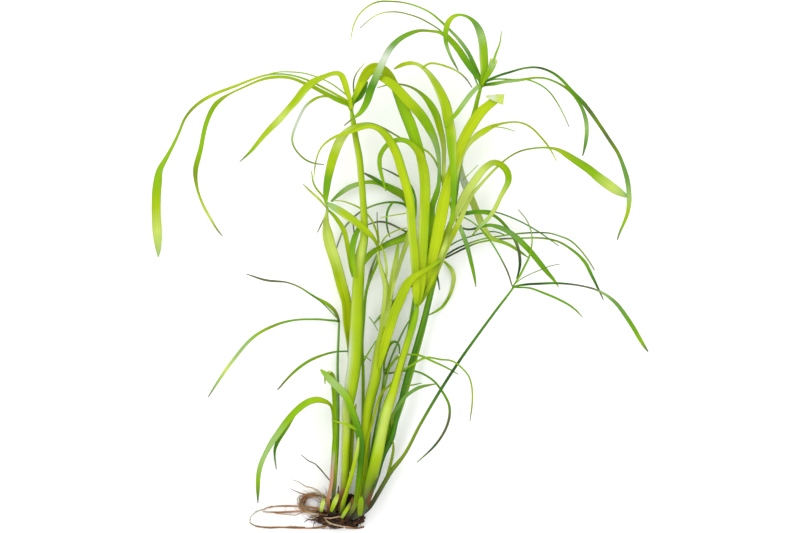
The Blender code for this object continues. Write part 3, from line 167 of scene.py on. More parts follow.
# Fibres round the ring of roots
RING_CENTRE = (313.0, 504.5)
RING_FIBRES = 46
RING_POINTS = 10
RING_WIDTHS = (7.2, 15.5)
RING_HEIGHTS = (6.2, 11.5)
RING_STARTS = (0.3, 4.2)
RING_SPANS = (0.7, 2.2)
RING_LEVELS = (1.0, 7.0)
RING_RADII = (0.22, 0.6)
RING_WAVER = (0.8, 0.6)
RING_TINTS = ["NH", "HN", "NHN", "NR"]

# Crumbs of soil, on the sheet in millimetres
SOIL_SEED = 21
SOIL_CENTRE = (342.0, 518.5)
SOIL_HALF = (23.0, 8.5)
SOIL_SCATTER = (1.0, 0.8)
SOIL_FOOT = 529.0
SOIL_TOP = 13.5
CRUMB_REACHES = (0.2, 1.0)
CRUMB_LIFTS = (0.8, 1.0)
CRUMB_RADII = (0.4, 1.5)
CRUMB_SEEDS = 90.0
CRUMB_ROUGHNESS = 0.5
CRUMB_FINENESS = 1.6
CRUMB_GRAIN = (0.5, 0.002, 0.002)

# The stage, in metres. The lens, the sensor and the camera's middle on the sheet are in millimetres.
FLOOR_HALF = 4.0
FLOOR_MOTTLE = 3.0
FLOOR_ROUGHNESS = 0.95
FLOOR_SHADES = ((0.93, 0.93, 0.93, 1.0), (0.95, 0.95, 0.95, 1.0))
LAMPS = (("key", (-1.6, 1.4, 2.6), 2.4, 40.0), ("fill", (1.8, -0.8, 2.4), 2.6, 14.0))
LENS = 300.0
SENSOR_WIDTH = 36.0
VIEW_WIDTH = 0.8
VIEW_MIDDLE = (400.0, 266.5, 22.0)
VIEW_DEPTH = 30.0

Strand = namedtuple("Strand", "name node form host level base rise tip tint route")
STRANDS = []
FINE = []
LAID = []
LAID_FINE = []


def culm(name, base, head, tint, route):
    """A round stem from the rootstock up to its head."""
    STRANDS.append(Strand(name, name, "culm", None, 0, base, 0.0, head, tint, route))


def leaf(name, host, level, rise, tip, tint, route, node=None):
    """A blade that starts on its host, above it (level > 0), below it or joined to it (level 0)."""
    STRANDS.append(Strand(name, node or name, "leaf", host, level, 0.0, rise, tip, tint, route))


def basal_leaf(name, base, rise, tip, tint, route):
    """A blade that comes out of the rootstock."""
    STRANDS.append(Strand(name, name, "leaf", None, 0, base, rise, tip, tint, route))


def root(name, tint, route):
    """A root that runs out of the rootstock and lies on the surface."""
    STRANDS.append(Strand(name, "rootstock", "root", None, 0, ROOT_BASE, 0.0, 0.0, tint, route))


def fine(name, host, over, level, rise, tip, tint, route):
    """A strand too thin for a solid. It lies over all strands up to the one named, and lifts none."""
    FINE.append((over, Strand(name, "fine_leaves", "leaf", host, level, 0.0, rise, tip, tint, route)))


def list_roots():
    """The main roots, which run out of the rootstock along the surface."""
    root("root_low", "RNNTNNNHWH", [
        (338, 520, 3), (325, 527, 2.2), (310, 529, 1.8), (280, 528, 1.7), (258, 527, 1.6),
        (249, 523.5, 1.5), (250, 517.5, 1.5), (255, 513, 1.4), (262, 510, 1.3)])
    root("root_upper", "RNNTNNH", [
        (330, 516, 3), (316, 512, 2.4), (300, 512, 2.2), (280, 513, 2.1), (262, 512.5, 1.4)])
    root("root_top", "RNNTNNH", [
        (328, 512, 3), (315, 508.5, 2.4), (303, 507.5, 2), (285, 506.5, 1.9), (269, 507.5, 1.4)])
    root("root_ring", "RNHNRNHNR", [
        (329, 508, 3.4), (325, 498, 4), (316, 494.5, 4.4), (306, 496, 4), (301, 501.5, 3), (301, 507, 2.4),
        (305, 512, 2.2), (318, 515, 2.4), (332, 517, 3)])
    root("root_right", "RNHN", [(344, 524, 3), (350, 528, 2.4), (358, 529.4, 1.8), (364, 527, 1.2)])


def list_hidden_leaves():
    """The lowest strands: those behind the middle of the plant."""
    culm("culm_hidden_middle", 5, 6, "OGDDD", [
        (354, 516, 3), (364, 500, 3), (372, 475, 3), (382, 440, 3), (390, 410, 3), (398, 380, 3),
        (406, 345, 3), (412, 312, 3), (416, 280, 3), (415, 250, 2.6), (413, 222, 2)])
    leaf("leaf_hidden_left", "culm_hidden_middle", 0, 2, 5, "DFFDECE", [
        (413.3, 224, 1.6), (409, 210, 2.6), (405, 204, 2.8), (398, 202.5, 2.5), (390, 202, 2.1),
        (380, 203.5, 1.9), (372, 206, 1.9), (360, 212, 1.9), (349, 222, 2), (344, 228, 2), (341, 235, 1.8),
        (336, 249, 1.2)], node="culm_hidden_middle")
    leaf("leaf_hidden_low", "culm_hidden_middle", 0, 1, 4, "DEE", [
        (414.5, 240, 2), (408, 233, 2), (398, 227.5, 2), (385, 222, 2), (378, 221.5, 2), (368, 224.5, 1.2)],
        node="culm_hidden_middle")
    leaf("leaf_hidden_grey", "culm_hidden_middle", 0, 1, 4, "OEDC", [
        (416, 286, 2.6), (411, 285, 3.2), (405, 290, 4), (399, 297, 4), (387, 309, 4), (380, 317, 3.2),
        (373.5, 324, 1.2)], node="culm_hidden_middle")
    leaf("leaf_lower_left", "culm_hidden_middle", 1, 1, 6, "GGGGDGGL||KKKKFGGG", [
        (411.5, 227, 5), (407, 236, 7), (403, 238, 8), (396, 241, 7), (388, 244, 6), (380, 248.5, 5),
        (375, 250.5, 5), (370, 254, 6), (366, 259, 6), (363, 265, 3)])
    leaf("leaf_upper_left", "culm_hidden_middle", 2, 2, 8, "DODGCD", [
        (412, 219, 4), (409, 205, 6), (402, 194, 8), (395, 190.5, 8), (388, 187, 7), (380, 183.5, 5),
        (372, 182, 4), (364, 182.5, 3.5), (357, 184.5, 4.5), (350, 187, 5), (344, 190.5, 5), (338, 195, 4),
        (331, 201.5, 2)])
    leaf("leaf_upper_left_side", "leaf_upper_left", 0, 1, 9, "FFE", [
        (386, 186.5, 4), (377, 180, 4), (370, 176, 3.2), (364, 173, 1.6)], node="leaf_upper_left")
    leaf("leaf_hidden_top", "culm_hidden_middle", 0, 1, 10, "DFE", [
        (413.6, 226, 2), (416, 210, 2), (415, 196, 2), (410, 184, 2), (401, 177.5, 2), (391, 172, 1.8),
        (382, 168, 1)], node="culm_hidden_middle")
    culm("culm_hidden_right", 8, 8, "OGDF", [
        (357, 514, 2.6), (374, 485, 2.6), (385, 455, 2.6), (396, 425, 2.6), (406, 395, 2.6),
        (416, 360, 2.6), (424, 330, 2.6), (431, 300, 2.6), (437, 275, 2.4), (441.5, 259, 2)])
    leaf("leaf_right_fine", "culm_hidden_right", 0, 6, 6, "FF", [
        (440.8, 261, 1.4), (451, 245, 1.4), (458, 241, 1.4), (466, 238, 1.4), (475, 235, 1.4),
        (483, 233, 1.4), (490, 231.5, 1.4), (498, 232, 1.3), (505, 235, 0.9)], node="culm_hidden_right")
    leaf("leaf_right_hook", "culm_hidden_right", -1, -2, 3, "GGPPPGGGO", [
        (443.5, 261, 2), (448, 265, 3), (452, 270, 4.5), (454, 276, 4.5), (453.5, 284, 4), (451, 293, 3.5),
        (447, 301, 3), (442, 307.5, 3), (436, 311.5, 2.5), (428, 315.5, 1)])
    leaf("leaf_right_long", "culm_hidden_right", 1, 8, 2, "KEKGGEGGOODDDFKE", [
        (443.5, 259, 2), (455, 253, 2), (465, 248, 2), (475, 243.5, 1.8), (495, 239.5, 1.8),
        (525, 238, 1.6), (540, 237.8, 1.6), (550, 239, 1.8), (560, 242, 2), (570, 248, 2.4),
        (580, 256, 2.8), (586, 263, 3.4), (591, 273, 3.4), (596, 283, 2.6), (604, 300, 1)])
    leaf("leaf_right_long_upper", "culm_hidden_right", 2, 12, 4, "DKKGGGGKEDDOOE", [
        (443.5, 257, 2), (455, 249.5, 2), (465, 245, 1.8), (475, 241, 1.6), (500, 236, 1.5),
        (525, 233, 1.5), (540, 232.5, 1.5), (550, 233, 1.5), (560, 236, 1.6), (570, 240, 1.6),
        (580, 249, 1.6), (588, 259, 1.4), (595, 270, 1)])


def list_left_back():
    """The short back culms, the thin left one and what grows beside them."""
    culm("culm_short_back", 8, 9, "OFG", [
        (352, 515, 2.2), (364, 490, 2.2), (370, 460, 2.2), (375, 430, 2.2), (379, 410, 2.2),
        (382, 392, 2.2), (384.5, 373, 2)])
    leaf("leaf_back_up", "culm_short_back", 0, 2, 10, "DGDF", [
        (384.2, 376, 1.6), (384, 362, 2.6), (386, 354, 3), (389, 346, 3), (392, 342, 3), (396, 341, 2.4),
        (399, 345, 2), (399.5, 354, 1.2)], node="culm_short_back")
    leaf("leaf_back_straight", "culm_short_back", 0, 1, 10, "BB", [
        (384, 378, 1.5), (394, 351, 2), (402, 334, 2), (406, 326, 1.8), (410, 319.5, 1)],
        node="culm_short_back")
    culm("culm_thin_back", 9, 11, "OGDG", [
        (348, 516, 3), (358, 490, 3), (361, 460, 3), (362.5, 430, 3), (363, 400, 3), (363, 370, 3),
        (362, 345, 3), (364, 315, 3), (365, 300, 3), (367, 288, 3), (371, 277, 3), (375, 268, 3),
        (378, 260, 2.6), (378.5, 248, 2.2)])
    leaf("leaf_back_left", "culm_thin_back", 0, 2, 14, "GLLLP", [
        (378.4, 251, 1.6), (377, 233, 2), (374, 225, 2), (371, 219, 1.8), (367, 214, 1.8), (360, 208, 1.8),
        (350, 203.5, 1.6), (343, 201, 1.4), (334, 200.5, 1)], node="culm_thin_back")
    leaf("leaf_back_right", "culm_thin_back", 0, 1, 10, "LLP", [
        (378.3, 254, 1.5), (386, 236, 1.6), (392, 232.5, 1.5), (400, 229, 1.4), (407, 228, 1)],
        node="culm_thin_back")
    basal_leaf("leaf_broad_left", 9, 2, 20, "EOGLYYPPYYYLPPPLG|EOGLYYPPYYYLYPPLG|EOGLYYPPYYYPPYPLG", [
        (343, 515, 3.6), (344.6, 500, 4.5), (346, 460, 5), (348, 420, 5), (350, 385, 6), (351, 355, 8),
        (350, 340, 9), (348, 325, 10), (345.7, 300, 10), (342.4, 288, 11.2), (336.6, 266, 11),
        (333.3, 255, 11.4), (330, 245, 11.4), (327.4, 235, 10.4), (325.8, 226, 7), (326.6, 214, 3),
        (327.2, 206, 2.4), (323.5, 197, 2.2), (318, 191, 2), (314, 185, 1.8), (311.5, 171, 1)])
    leaf("leaf_broad_left_right", "leaf_broad_left", 0, 1, 12, "GLLG", [
        (327.2, 209, 1.8), (334, 215.5, 3.8), (339.5, 223, 4.6), (343.8, 230, 5), (346.3, 239, 4.8),
        (348, 248, 5), (349.6, 257, 5), (351, 267, 4.6), (352.5, 277, 1.8)], node="leaf_broad_left")
    leaf("leaf_broad_left_spur", "leaf_broad_left", 0, 1, 18, "LPO", [
        (327.2, 208.5, 1.5), (318, 198, 2.8), (310, 191, 2.2), (303, 184, 1)], node="leaf_broad_left")
    culm("culm_thin_left", 9, 9, "XDDBBB", [
        (337, 516, 3), (334, 500, 3), (335, 485, 3), (336, 470, 3), (337, 455, 3), (338, 425, 3),
        (338, 395, 2.8), (337.5, 365, 2.6), (338.5, 335, 2.4), (339, 322, 2)])
    leaf("leaf_left_low", "culm_thin_left", -1, 4, 0.3, "FDDDOGCCPCE", [
        (338, 321, 2.2), (330, 320.5, 2.2), (320, 319.5, 2), (310, 319.5, 2), (300, 319.7, 2),
        (290, 321, 2.2), (280, 323.5, 2.6), (270, 327.5, 3), (260, 332.5, 3), (250, 340, 3.5),
        (242, 348.5, 3.5), (235, 357.5, 3.5), (228, 366.5, 3.2), (222, 375, 3), (216, 384, 2.4),
        (207.5, 397.5, 0.8)])
    leaf("leaf_left_upper", "culm_thin_left", 1, 8, 6, "EOGDOEEEE", [
        (338.5, 319.5, 2.6), (336, 313, 3.5), (331, 307, 4), (325, 302.5, 3.5), (318, 299, 2.5),
        (310, 294, 2), (300, 287.5, 1.8), (292, 284, 1.6), (285, 282, 1.6), (278, 281.5, 2),
        (270, 281, 2.2), (262, 279.5, 2), (255, 277, 1.8), (246, 274, 1)])
    leaf("leaf_left_middle", "culm_left", -1, 2, 3, "EFODOE", [
        (352, 351, 1.6), (345, 351.3, 1.6), (338, 351.5, 1.8), (330, 353, 2.2), (322, 355.5, 2.5),
        (315, 358, 3), (308, 361.5, 3), (300, 367, 3), (293, 373, 2.8), (286, 380, 2.3), (280, 387, 1.8),
        (277, 390.5, 1)])


def list_right_side():
    """The dark culms with their heads, the slanting culm and the short right leaves."""
    leaf("leaf_short_back", "culm_short_back", 2, 4, 2, "EDDDDEEKO", [
        (385.5, 374, 1.8), (392, 373, 2), (405, 371, 2), (414, 371, 2), (420, 372.5, 2), (427, 376, 2),
        (434, 381, 2), (440, 388, 2.2), (445, 396, 2.5), (449, 404, 2.6), (450, 411, 2.8), (449, 420, 2.8),
        (446, 429, 2.6), (441, 438, 2.4), (435, 446, 2.2), (427, 454, 1.6), (417, 463, 0.8)])
    leaf("leaf_right_pale", "culm_tall", -1, 2, 8, "PWPPPGGD", [
        (461, 164, 3), (462, 175, 6), (465, 184, 8), (469, 193, 7.5), (473, 202, 7), (477, 212, 7),
        (481, 222, 7), (486, 232, 6.5), (491, 238, 5), (500, 241, 3.5), (510, 245, 3), (518, 250, 3),
        (529, 258, 1)])
    culm("culm_tall", 10, 32, "OGDDDFGDBGG", [
        (353, 516, 4.5), (364, 500, 4.5), (370, 490, 4.5), (378, 465, 4.5), (386, 440, 4.5),
        (393, 418, 4.5), (403, 395, 4.5), (413, 366, 4.5), (422, 333, 4.5), (427, 312, 4.5),
        (433, 287, 4.5), (440, 262, 4.5), (447, 238, 4.5), (452, 218, 4.5), (455, 200, 4.5),
        (457.5, 180, 4.5), (460.5, 162, 4.5), (464, 145, 4.5), (469, 128, 4.5), (475, 110, 4.5),
        (478, 97, 4.2), (481, 87, 2.6)])
    culm("culm_dark", 12, 22, "XKFFFDDF|XKFFFDDF|XKKFKFFK", [
        (356, 515, 4.5), (370, 494, 5), (377, 475, 6), (381, 459, 7), (384, 452, 6.5), (390, 442, 6),
        (396, 420, 5.5), (401, 400, 5), (407, 376, 5), (411, 362, 4.5), (419, 335, 4.5), (427, 305, 4.5),
        (431, 288, 4.2), (436, 268, 4), (442, 247, 4), (448, 230, 3.6), (453, 217, 2.4)])
    leaf("leaf_dark_side", "culm_dark", 0, 2, 16, "OBBO", [
        (393.4, 430, 3), (392, 420, 3.4), (393, 415, 4), (398, 407, 4), (403, 399, 4), (408, 394, 3.5),
        (414, 390, 3.5), (420, 387, 3.5), (427, 385.5, 2.5), (436, 384, 1)], node="culm_dark")
    leaf("leaf_fan_fine", "culm_dark", 0, 3, 12, "FF", [
        (452, 219.5, 1.6), (457, 214, 1.6), (470, 211.5, 1.4), (485, 210.5, 1.4), (495, 212, 1.4),
        (515, 219, 1.4), (535, 229.5, 1.4), (545, 236, 1.4), (559, 246, 0.9)], node="culm_dark")
    leaf("leaf_fan_arch", "culm_dark", 2, 10, 6, "KFDDDEKK", [
        (455.5, 215, 2.4), (466, 213.5, 4), (476, 212, 4.5), (486, 212.5, 4), (494, 215.5, 3),
        (500, 220, 3), (508, 229, 3), (514, 238, 3), (518, 247, 3), (520, 257, 3), (520, 267, 2.8),
        (517, 279, 1.4)])
    leaf("leaf_fan_broad", "culm_dark", 3, 12, 8, "FKKDBBDDDDG", [
        (455.5, 219, 1.8), (459, 226, 1.8), (464, 229, 2), (470, 229.5, 2), (477, 228, 2.5),
        (484, 225.5, 3), (490, 225, 3), (497, 226.5, 4), (505, 229.5, 5), (512, 234, 5.5), (520, 241, 6),
        (530, 251, 5.5), (540, 263, 5.5), (548, 273, 4.5), (555, 281, 3), (559, 287, 1)])
    leaf("leaf_fan_down", "culm_dark", 4, 4, 16, "CCBBDDO", [
        (455, 217.5, 2.6), (459, 225, 4.5), (463, 235, 4.5), (467, 246, 4.5), (470, 257, 4),
        (473, 270, 3.5), (475, 280, 2.6), (476, 287, 1)])
    leaf("leaf_fan_upper", "culm_dark", 5, 6, 14, "GGPPYLLLP", [
        (454.5, 213.5, 2.6), (455, 200, 3), (455.5, 182, 3), (458, 170, 3), (461, 160, 3), (465, 150, 3.5),
        (470, 142, 5), (478, 135, 6.5), (486, 130, 6), (492, 126.5, 4), (500, 124, 2.2), (508, 122.5, 1.9),
        (517, 122, 1.8), (524, 123.5, 2), (532, 128, 2), (540, 136, 2), (547, 144, 2), (557, 161, 1)])
    leaf("leaf_short_fine", "culm_short_back", 0, 6, 12, "DGGD", [
        (380.6, 402, 1.4), (385, 385, 1.8), (392, 363, 2), (400, 356.5, 1.7), (408, 354.5, 1.8),
        (417, 354.5, 2), (424, 357, 2.2), (432, 361, 2.2), (440, 364.5, 2), (448, 368.5, 1.8),
        (458.5, 374.5, 1)], node="culm_short_back")
    culm("culm_slanting", 12, 30, "XEOOFKFFD|XOLGKKKFF|XKKKKKKKF", [
        (357, 516, 4.5), (368, 509, 4.5), (376, 497, 4.5), (386, 480, 4.5), (392, 470, 4.5),
        (398, 463, 4.2), (402, 458, 3.4), (420, 425, 3.1), (440, 391, 3), (460, 360, 3), (480, 332, 2.8),
        (500, 305, 2.6), (507, 296, 2.4), (513.5, 287.2, 2)])
    leaf("leaf_slanting_side", "culm_slanting", 0, 1, 22, "OO", [
        (386, 480, 3), (389, 470, 3), (392, 458, 3), (393.5, 448, 2.6), (393, 440, 1.2)],
        node="culm_slanting")
    leaf("leaf_side_up", "culm_slanting", 0, 4, 24, "GDGE", [
        (511.5, 288.5, 1.4), (520, 275, 2.4), (525, 265, 2.1), (529, 257, 2), (531, 248, 1.6),
        (532, 238, 1.3), (530, 228, 1.2), (526, 219, 1.1), (518, 209.5, 0.9)], node="culm_slanting")
    leaf("leaf_side_back", "culm_slanting", 0, 6, 34, "EEDDDD", [
        (512.5, 288, 1.4), (507.5, 272, 1.8), (501.5, 260, 1.8), (494, 247, 1.7), (487, 236.5, 1.6),
        (477, 226, 1.5), (466, 218.5, 1.4), (458, 215, 1)], node="culm_slanting")
    leaf("leaf_side_short", "culm_slanting", -1, 2, 12, "DDDDDO", [
        (515, 287.5, 1.6), (530, 288, 2), (540, 291.5, 2.3), (550, 295.5, 2.5), (560, 300, 2.5),
        (570, 305.5, 2.3), (577, 311, 2), (583, 317.5, 0.8)])
    leaf("leaf_side_long", "culm_slanting", 1, 6, 0.3, "DKKFKEECBBDDGE", [
        (515, 286, 2.2), (525, 284.5, 2.5), (540, 283.5, 2.5), (555, 283, 2.3), (570, 284, 2),
        (585, 286.5, 1.8), (597, 290, 1.9), (608, 296, 3), (618, 305, 4), (626, 316, 4.5), (634, 328, 4.5),
        (641, 340, 4), (646, 348, 2.6), (649, 352, 1)])


def list_left_front():
    """The middle and left culms, the left head and the basal leaves at the left."""
    culm("culm_middle", 14, 22, "EGYYLLYLPPP|OPPLLPPPPPP|OGGGGGGGLLL", [
        (350, 515, 4), (358, 505, 5), (360, 490, 6), (363, 470, 9), (365, 450, 10), (366, 430, 10),
        (368, 410, 10), (371, 395, 11), (375, 380, 11), (377, 365, 10.5), (379.5, 350, 11),
        (381, 342, 10.5), (382.5, 335, 8.5), (383.5, 318, 6.5), (386, 295, 6.3), (386, 285, 6),
        (384, 278, 5), (381, 268, 3.5), (378.5, 258, 2.4), (378, 251, 1.8)])
    leaf("leaf_fork_middle", "culm_middle", 0, 3, 26, "PPLPG", [
        (382.5, 336, 5), (386, 322, 5.5), (388, 310, 5), (390, 300, 5), (391, 290, 5.5), (393, 275, 5.5),
        (395.5, 262, 5), (397.5, 250, 4), (398, 244, 2)], node="culm_middle")
    leaf("leaf_fork_right", "leaf_fork_middle", 0, 2, 26, "PPPP", [
        (390.7, 299, 2.2), (393.6, 284, 3.4), (397, 272, 4), (401, 259, 4.5), (405, 247, 5),
        (409, 236, 5.5), (411, 225, 5), (412, 215, 2)], node="culm_middle")
    basal_leaf("leaf_lime_long", 16, 8, 3, "LLLYYYGGGGLE", [
        (351, 516, 3), (358, 500, 3), (360, 485, 3), (363, 470, 2.8), (366, 450, 2.6), (368, 438, 2.5),
        (372, 423, 2.5), (376, 408, 2.5), (379, 398, 2.4), (383, 391, 2.4), (389, 386, 2.2), (396, 377, 2),
        (404, 369, 1.9), (410, 366, 1.9), (420, 359.5, 2.2), (425, 357.5, 2.2), (432, 357.5, 2),
        (440, 359.5, 1.9), (450, 360, 1.8), (455, 362, 1.8), (460, 366, 1.8), (465, 371, 1.8),
        (469, 376, 1.8), (471, 382, 1.8), (472.5, 402, 1.8), (471.5, 412, 1.5), (470, 422, 0.8)])
    culm("culm_bright", 17, 36, "EEOLPPYYLGG|EEGGDGGOLGG|KKOLLLLEGGG", [
        (352, 516, 8), (363, 508, 9), (366, 500, 9), (370, 485, 11.5), (374, 468, 11.5), (378, 450, 12),
        (382, 430, 11), (386, 413, 11), (390, 400, 10), (394, 388, 8.5), (397.6, 375, 8), (402, 360, 7.4),
        (405.2, 350, 7), (408.2, 340, 6.8), (411.4, 330, 6.8), (414.4, 320, 6.4), (416.4, 311, 5.4),
        (417, 305, 3.4)])
    leaf("leaf_head_grey", "culm_left", -2, 3, 14, "LLLLWWCOOE", [
        (349.5, 104.5, 1.8), (340, 101, 2), (330, 97, 2), (322, 96.5, 2.2), (315, 99, 3), (309, 103, 3),
        (305, 107, 3), (301, 114, 3), (297, 123, 3), (293.5, 132, 2.6), (292, 140, 2.2), (294, 147, 2),
        (299, 154, 1.8), (306, 160, 1.8), (313, 163, 1.6), (324, 164.5, 0.9)])
    culm("culm_left", 15, 32, "NOLYPLLLLLLPLLLLLG|NNPPPWWWPPLLLPPPPP|NNOGGGGGGGGGGGGDDD", [
        (344, 517, 6), (341.5, 508, 7), (344, 490, 7.5), (345.5, 470, 8), (346, 450, 8), (347, 430, 9),
        (348, 405, 12), (351.4, 385, 13.4), (354.2, 365, 14), (355.8, 340, 13.4), (357, 320, 12.8),
        (357.5, 300, 12.2), (358.5, 280, 11.5), (359.8, 260, 11.4), (361.8, 250, 10.2), (364, 240, 8.4),
        (364.2, 220, 7.2), (363, 200, 6.6), (361.5, 180, 6.6), (359, 155, 6.6), (356, 140, 6.2),
        (353, 120, 5.4), (351.3, 110, 3)])
    leaf("leaf_spike", "culm_left", 0, -3, 20, "GDDGG", [
        (363.5, 221, 3), (358, 230, 5), (354, 240, 6.5), (352.4, 253, 6), (353.6, 266, 4.6),
        (356, 278, 1.6)],
        node="culm_left")
    leaf("leaf_over_culm", "culm_thin_back", 1, 8, 26, "GLLLLLLCC|GLLLLPPCC|", [
        (378, 246, 3), (373.5, 238, 4), (368, 232.5, 6), (362, 227.3, 6.8), (355, 221.6, 7.4),
        (348, 216.4, 8.2), (340, 211, 8), (333, 206.8, 6.4), (325.5, 202.6, 2.4)])
    leaf("leaf_head_inner", "culm_left", -1, 6, 4, "GGLLLLLGGGOLPE", [
        (349.5, 105, 4), (340, 101, 5.2), (325, 93.5, 4.5), (313, 87, 4), (305, 84, 3.4), (295, 79.5, 3),
        (285, 77.5, 3.2), (275, 77.5, 3.4), (265, 79, 3), (255, 82.5, 2.5), (245, 87, 2.2), (235, 91.5, 2),
        (228, 95, 2.4), (222, 99, 4), (216, 104, 5), (212, 110, 5), (207.5, 120, 4.6), (204.5, 130, 4.5),
        (202.5, 140, 4.5), (200.5, 150, 5), (197.5, 160, 5.5), (195.3, 170, 5.2), (195.7, 180, 4),
        (197.5, 190, 2.8), (200.8, 200, 2.6), (205.3, 210, 3), (211, 220, 2.8), (217, 230, 2),
        (222, 236, 0.9)])
    leaf("leaf_head_long", "culm_left", 1, 13, 0.3, "LLGGLLLOGGGLPC", [
        (349.5, 102.5, 2.4), (340, 97, 2.5), (325, 89, 2.2), (310, 81.5, 2), (295, 76.5, 1.8),
        (280, 74.5, 1.8), (265, 76, 2), (250, 81, 2.5), (235, 87, 3), (220, 92.5, 3.2), (208, 98, 3.5),
        (200, 103, 3.5), (192, 110, 3.5), (184.5, 120, 3), (180.5, 130, 2.8), (176, 140, 3),
        (171, 150, 3.5), (165.5, 160, 5), (160, 170, 7.2), (158, 180, 9), (156.7, 190, 9.2),
        (156, 200, 9.2), (155.7, 210, 9.4), (156, 220, 9.6), (156.5, 230, 9.8), (157, 240, 8.4),
        (157.5, 250, 5), (157.5, 257, 1)])
    leaf("leaf_root_inner", "leaf_root_arch", -1, 4, 4, "GGLDFE", [
        (329, 404, 1.6), (318, 401.5, 2), (309, 404, 2.5), (300, 409, 3), (293, 417, 3.5), (287, 427, 4.5),
        (281, 436, 4.5), (277, 443, 4), (274.5, 450, 3), (274.5, 457, 1.8), (276, 470, 1)])
    basal_leaf("leaf_root_arch", 14, 12, 3, "EELGLLGGCCGK", [
        (334, 516, 4), (333, 500, 4), (334.5, 485, 4), (335, 470, 4), (335, 455, 4), (334.5, 440, 4),
        (334, 425, 4), (333, 412, 3), (331, 405, 2.8), (326, 401.5, 4), (318, 399.5, 6), (310, 401, 7),
        (303, 405, 7), (296, 411, 7), (288, 420, 7), (280, 431, 6.5), (271, 444, 6), (265, 455, 5),
        (261, 464, 4.8), (258.5, 473, 5), (257.5, 490, 4), (257.5, 504, 0.8)])
    basal_leaf("leaf_dried_sheath", 18, 2, 24, "RNTTHGGGGGGO", [
        (330, 515, 4), (328, 500, 4), (331, 485, 4), (332.5, 465, 4), (334, 445, 4), (335, 425, 4),
        (334.5, 405, 4), (334, 390, 5), (333.4, 380, 6), (331.4, 373.8, 6), (327.8, 371.6, 2.6)])
    basal_leaf("leaf_shoot", 20, 4, 24, "EODFFDGCG", [
        (347, 517, 4.5), (355, 505, 4.5), (357, 490, 5), (359, 475, 6), (360.5, 460, 6.5), (361, 450, 7.5),
        (360, 438, 8), (357, 425, 7), (352, 410, 7), (348, 399, 7.5), (342, 391, 8), (335, 384, 8),
        (328, 377, 7), (323, 371.5, 4), (320.5, 369.5, 1.5)])
    culm("shoot_young", 22, 32, "OLLP", [
        (341, 515, 4), (343, 504, 5), (347, 491, 4.6), (351, 477, 4.6), (354.3, 464, 4.5),
        (356.6, 453, 4.5), (358, 445, 3.4), (358.6, 437, 1.5)])


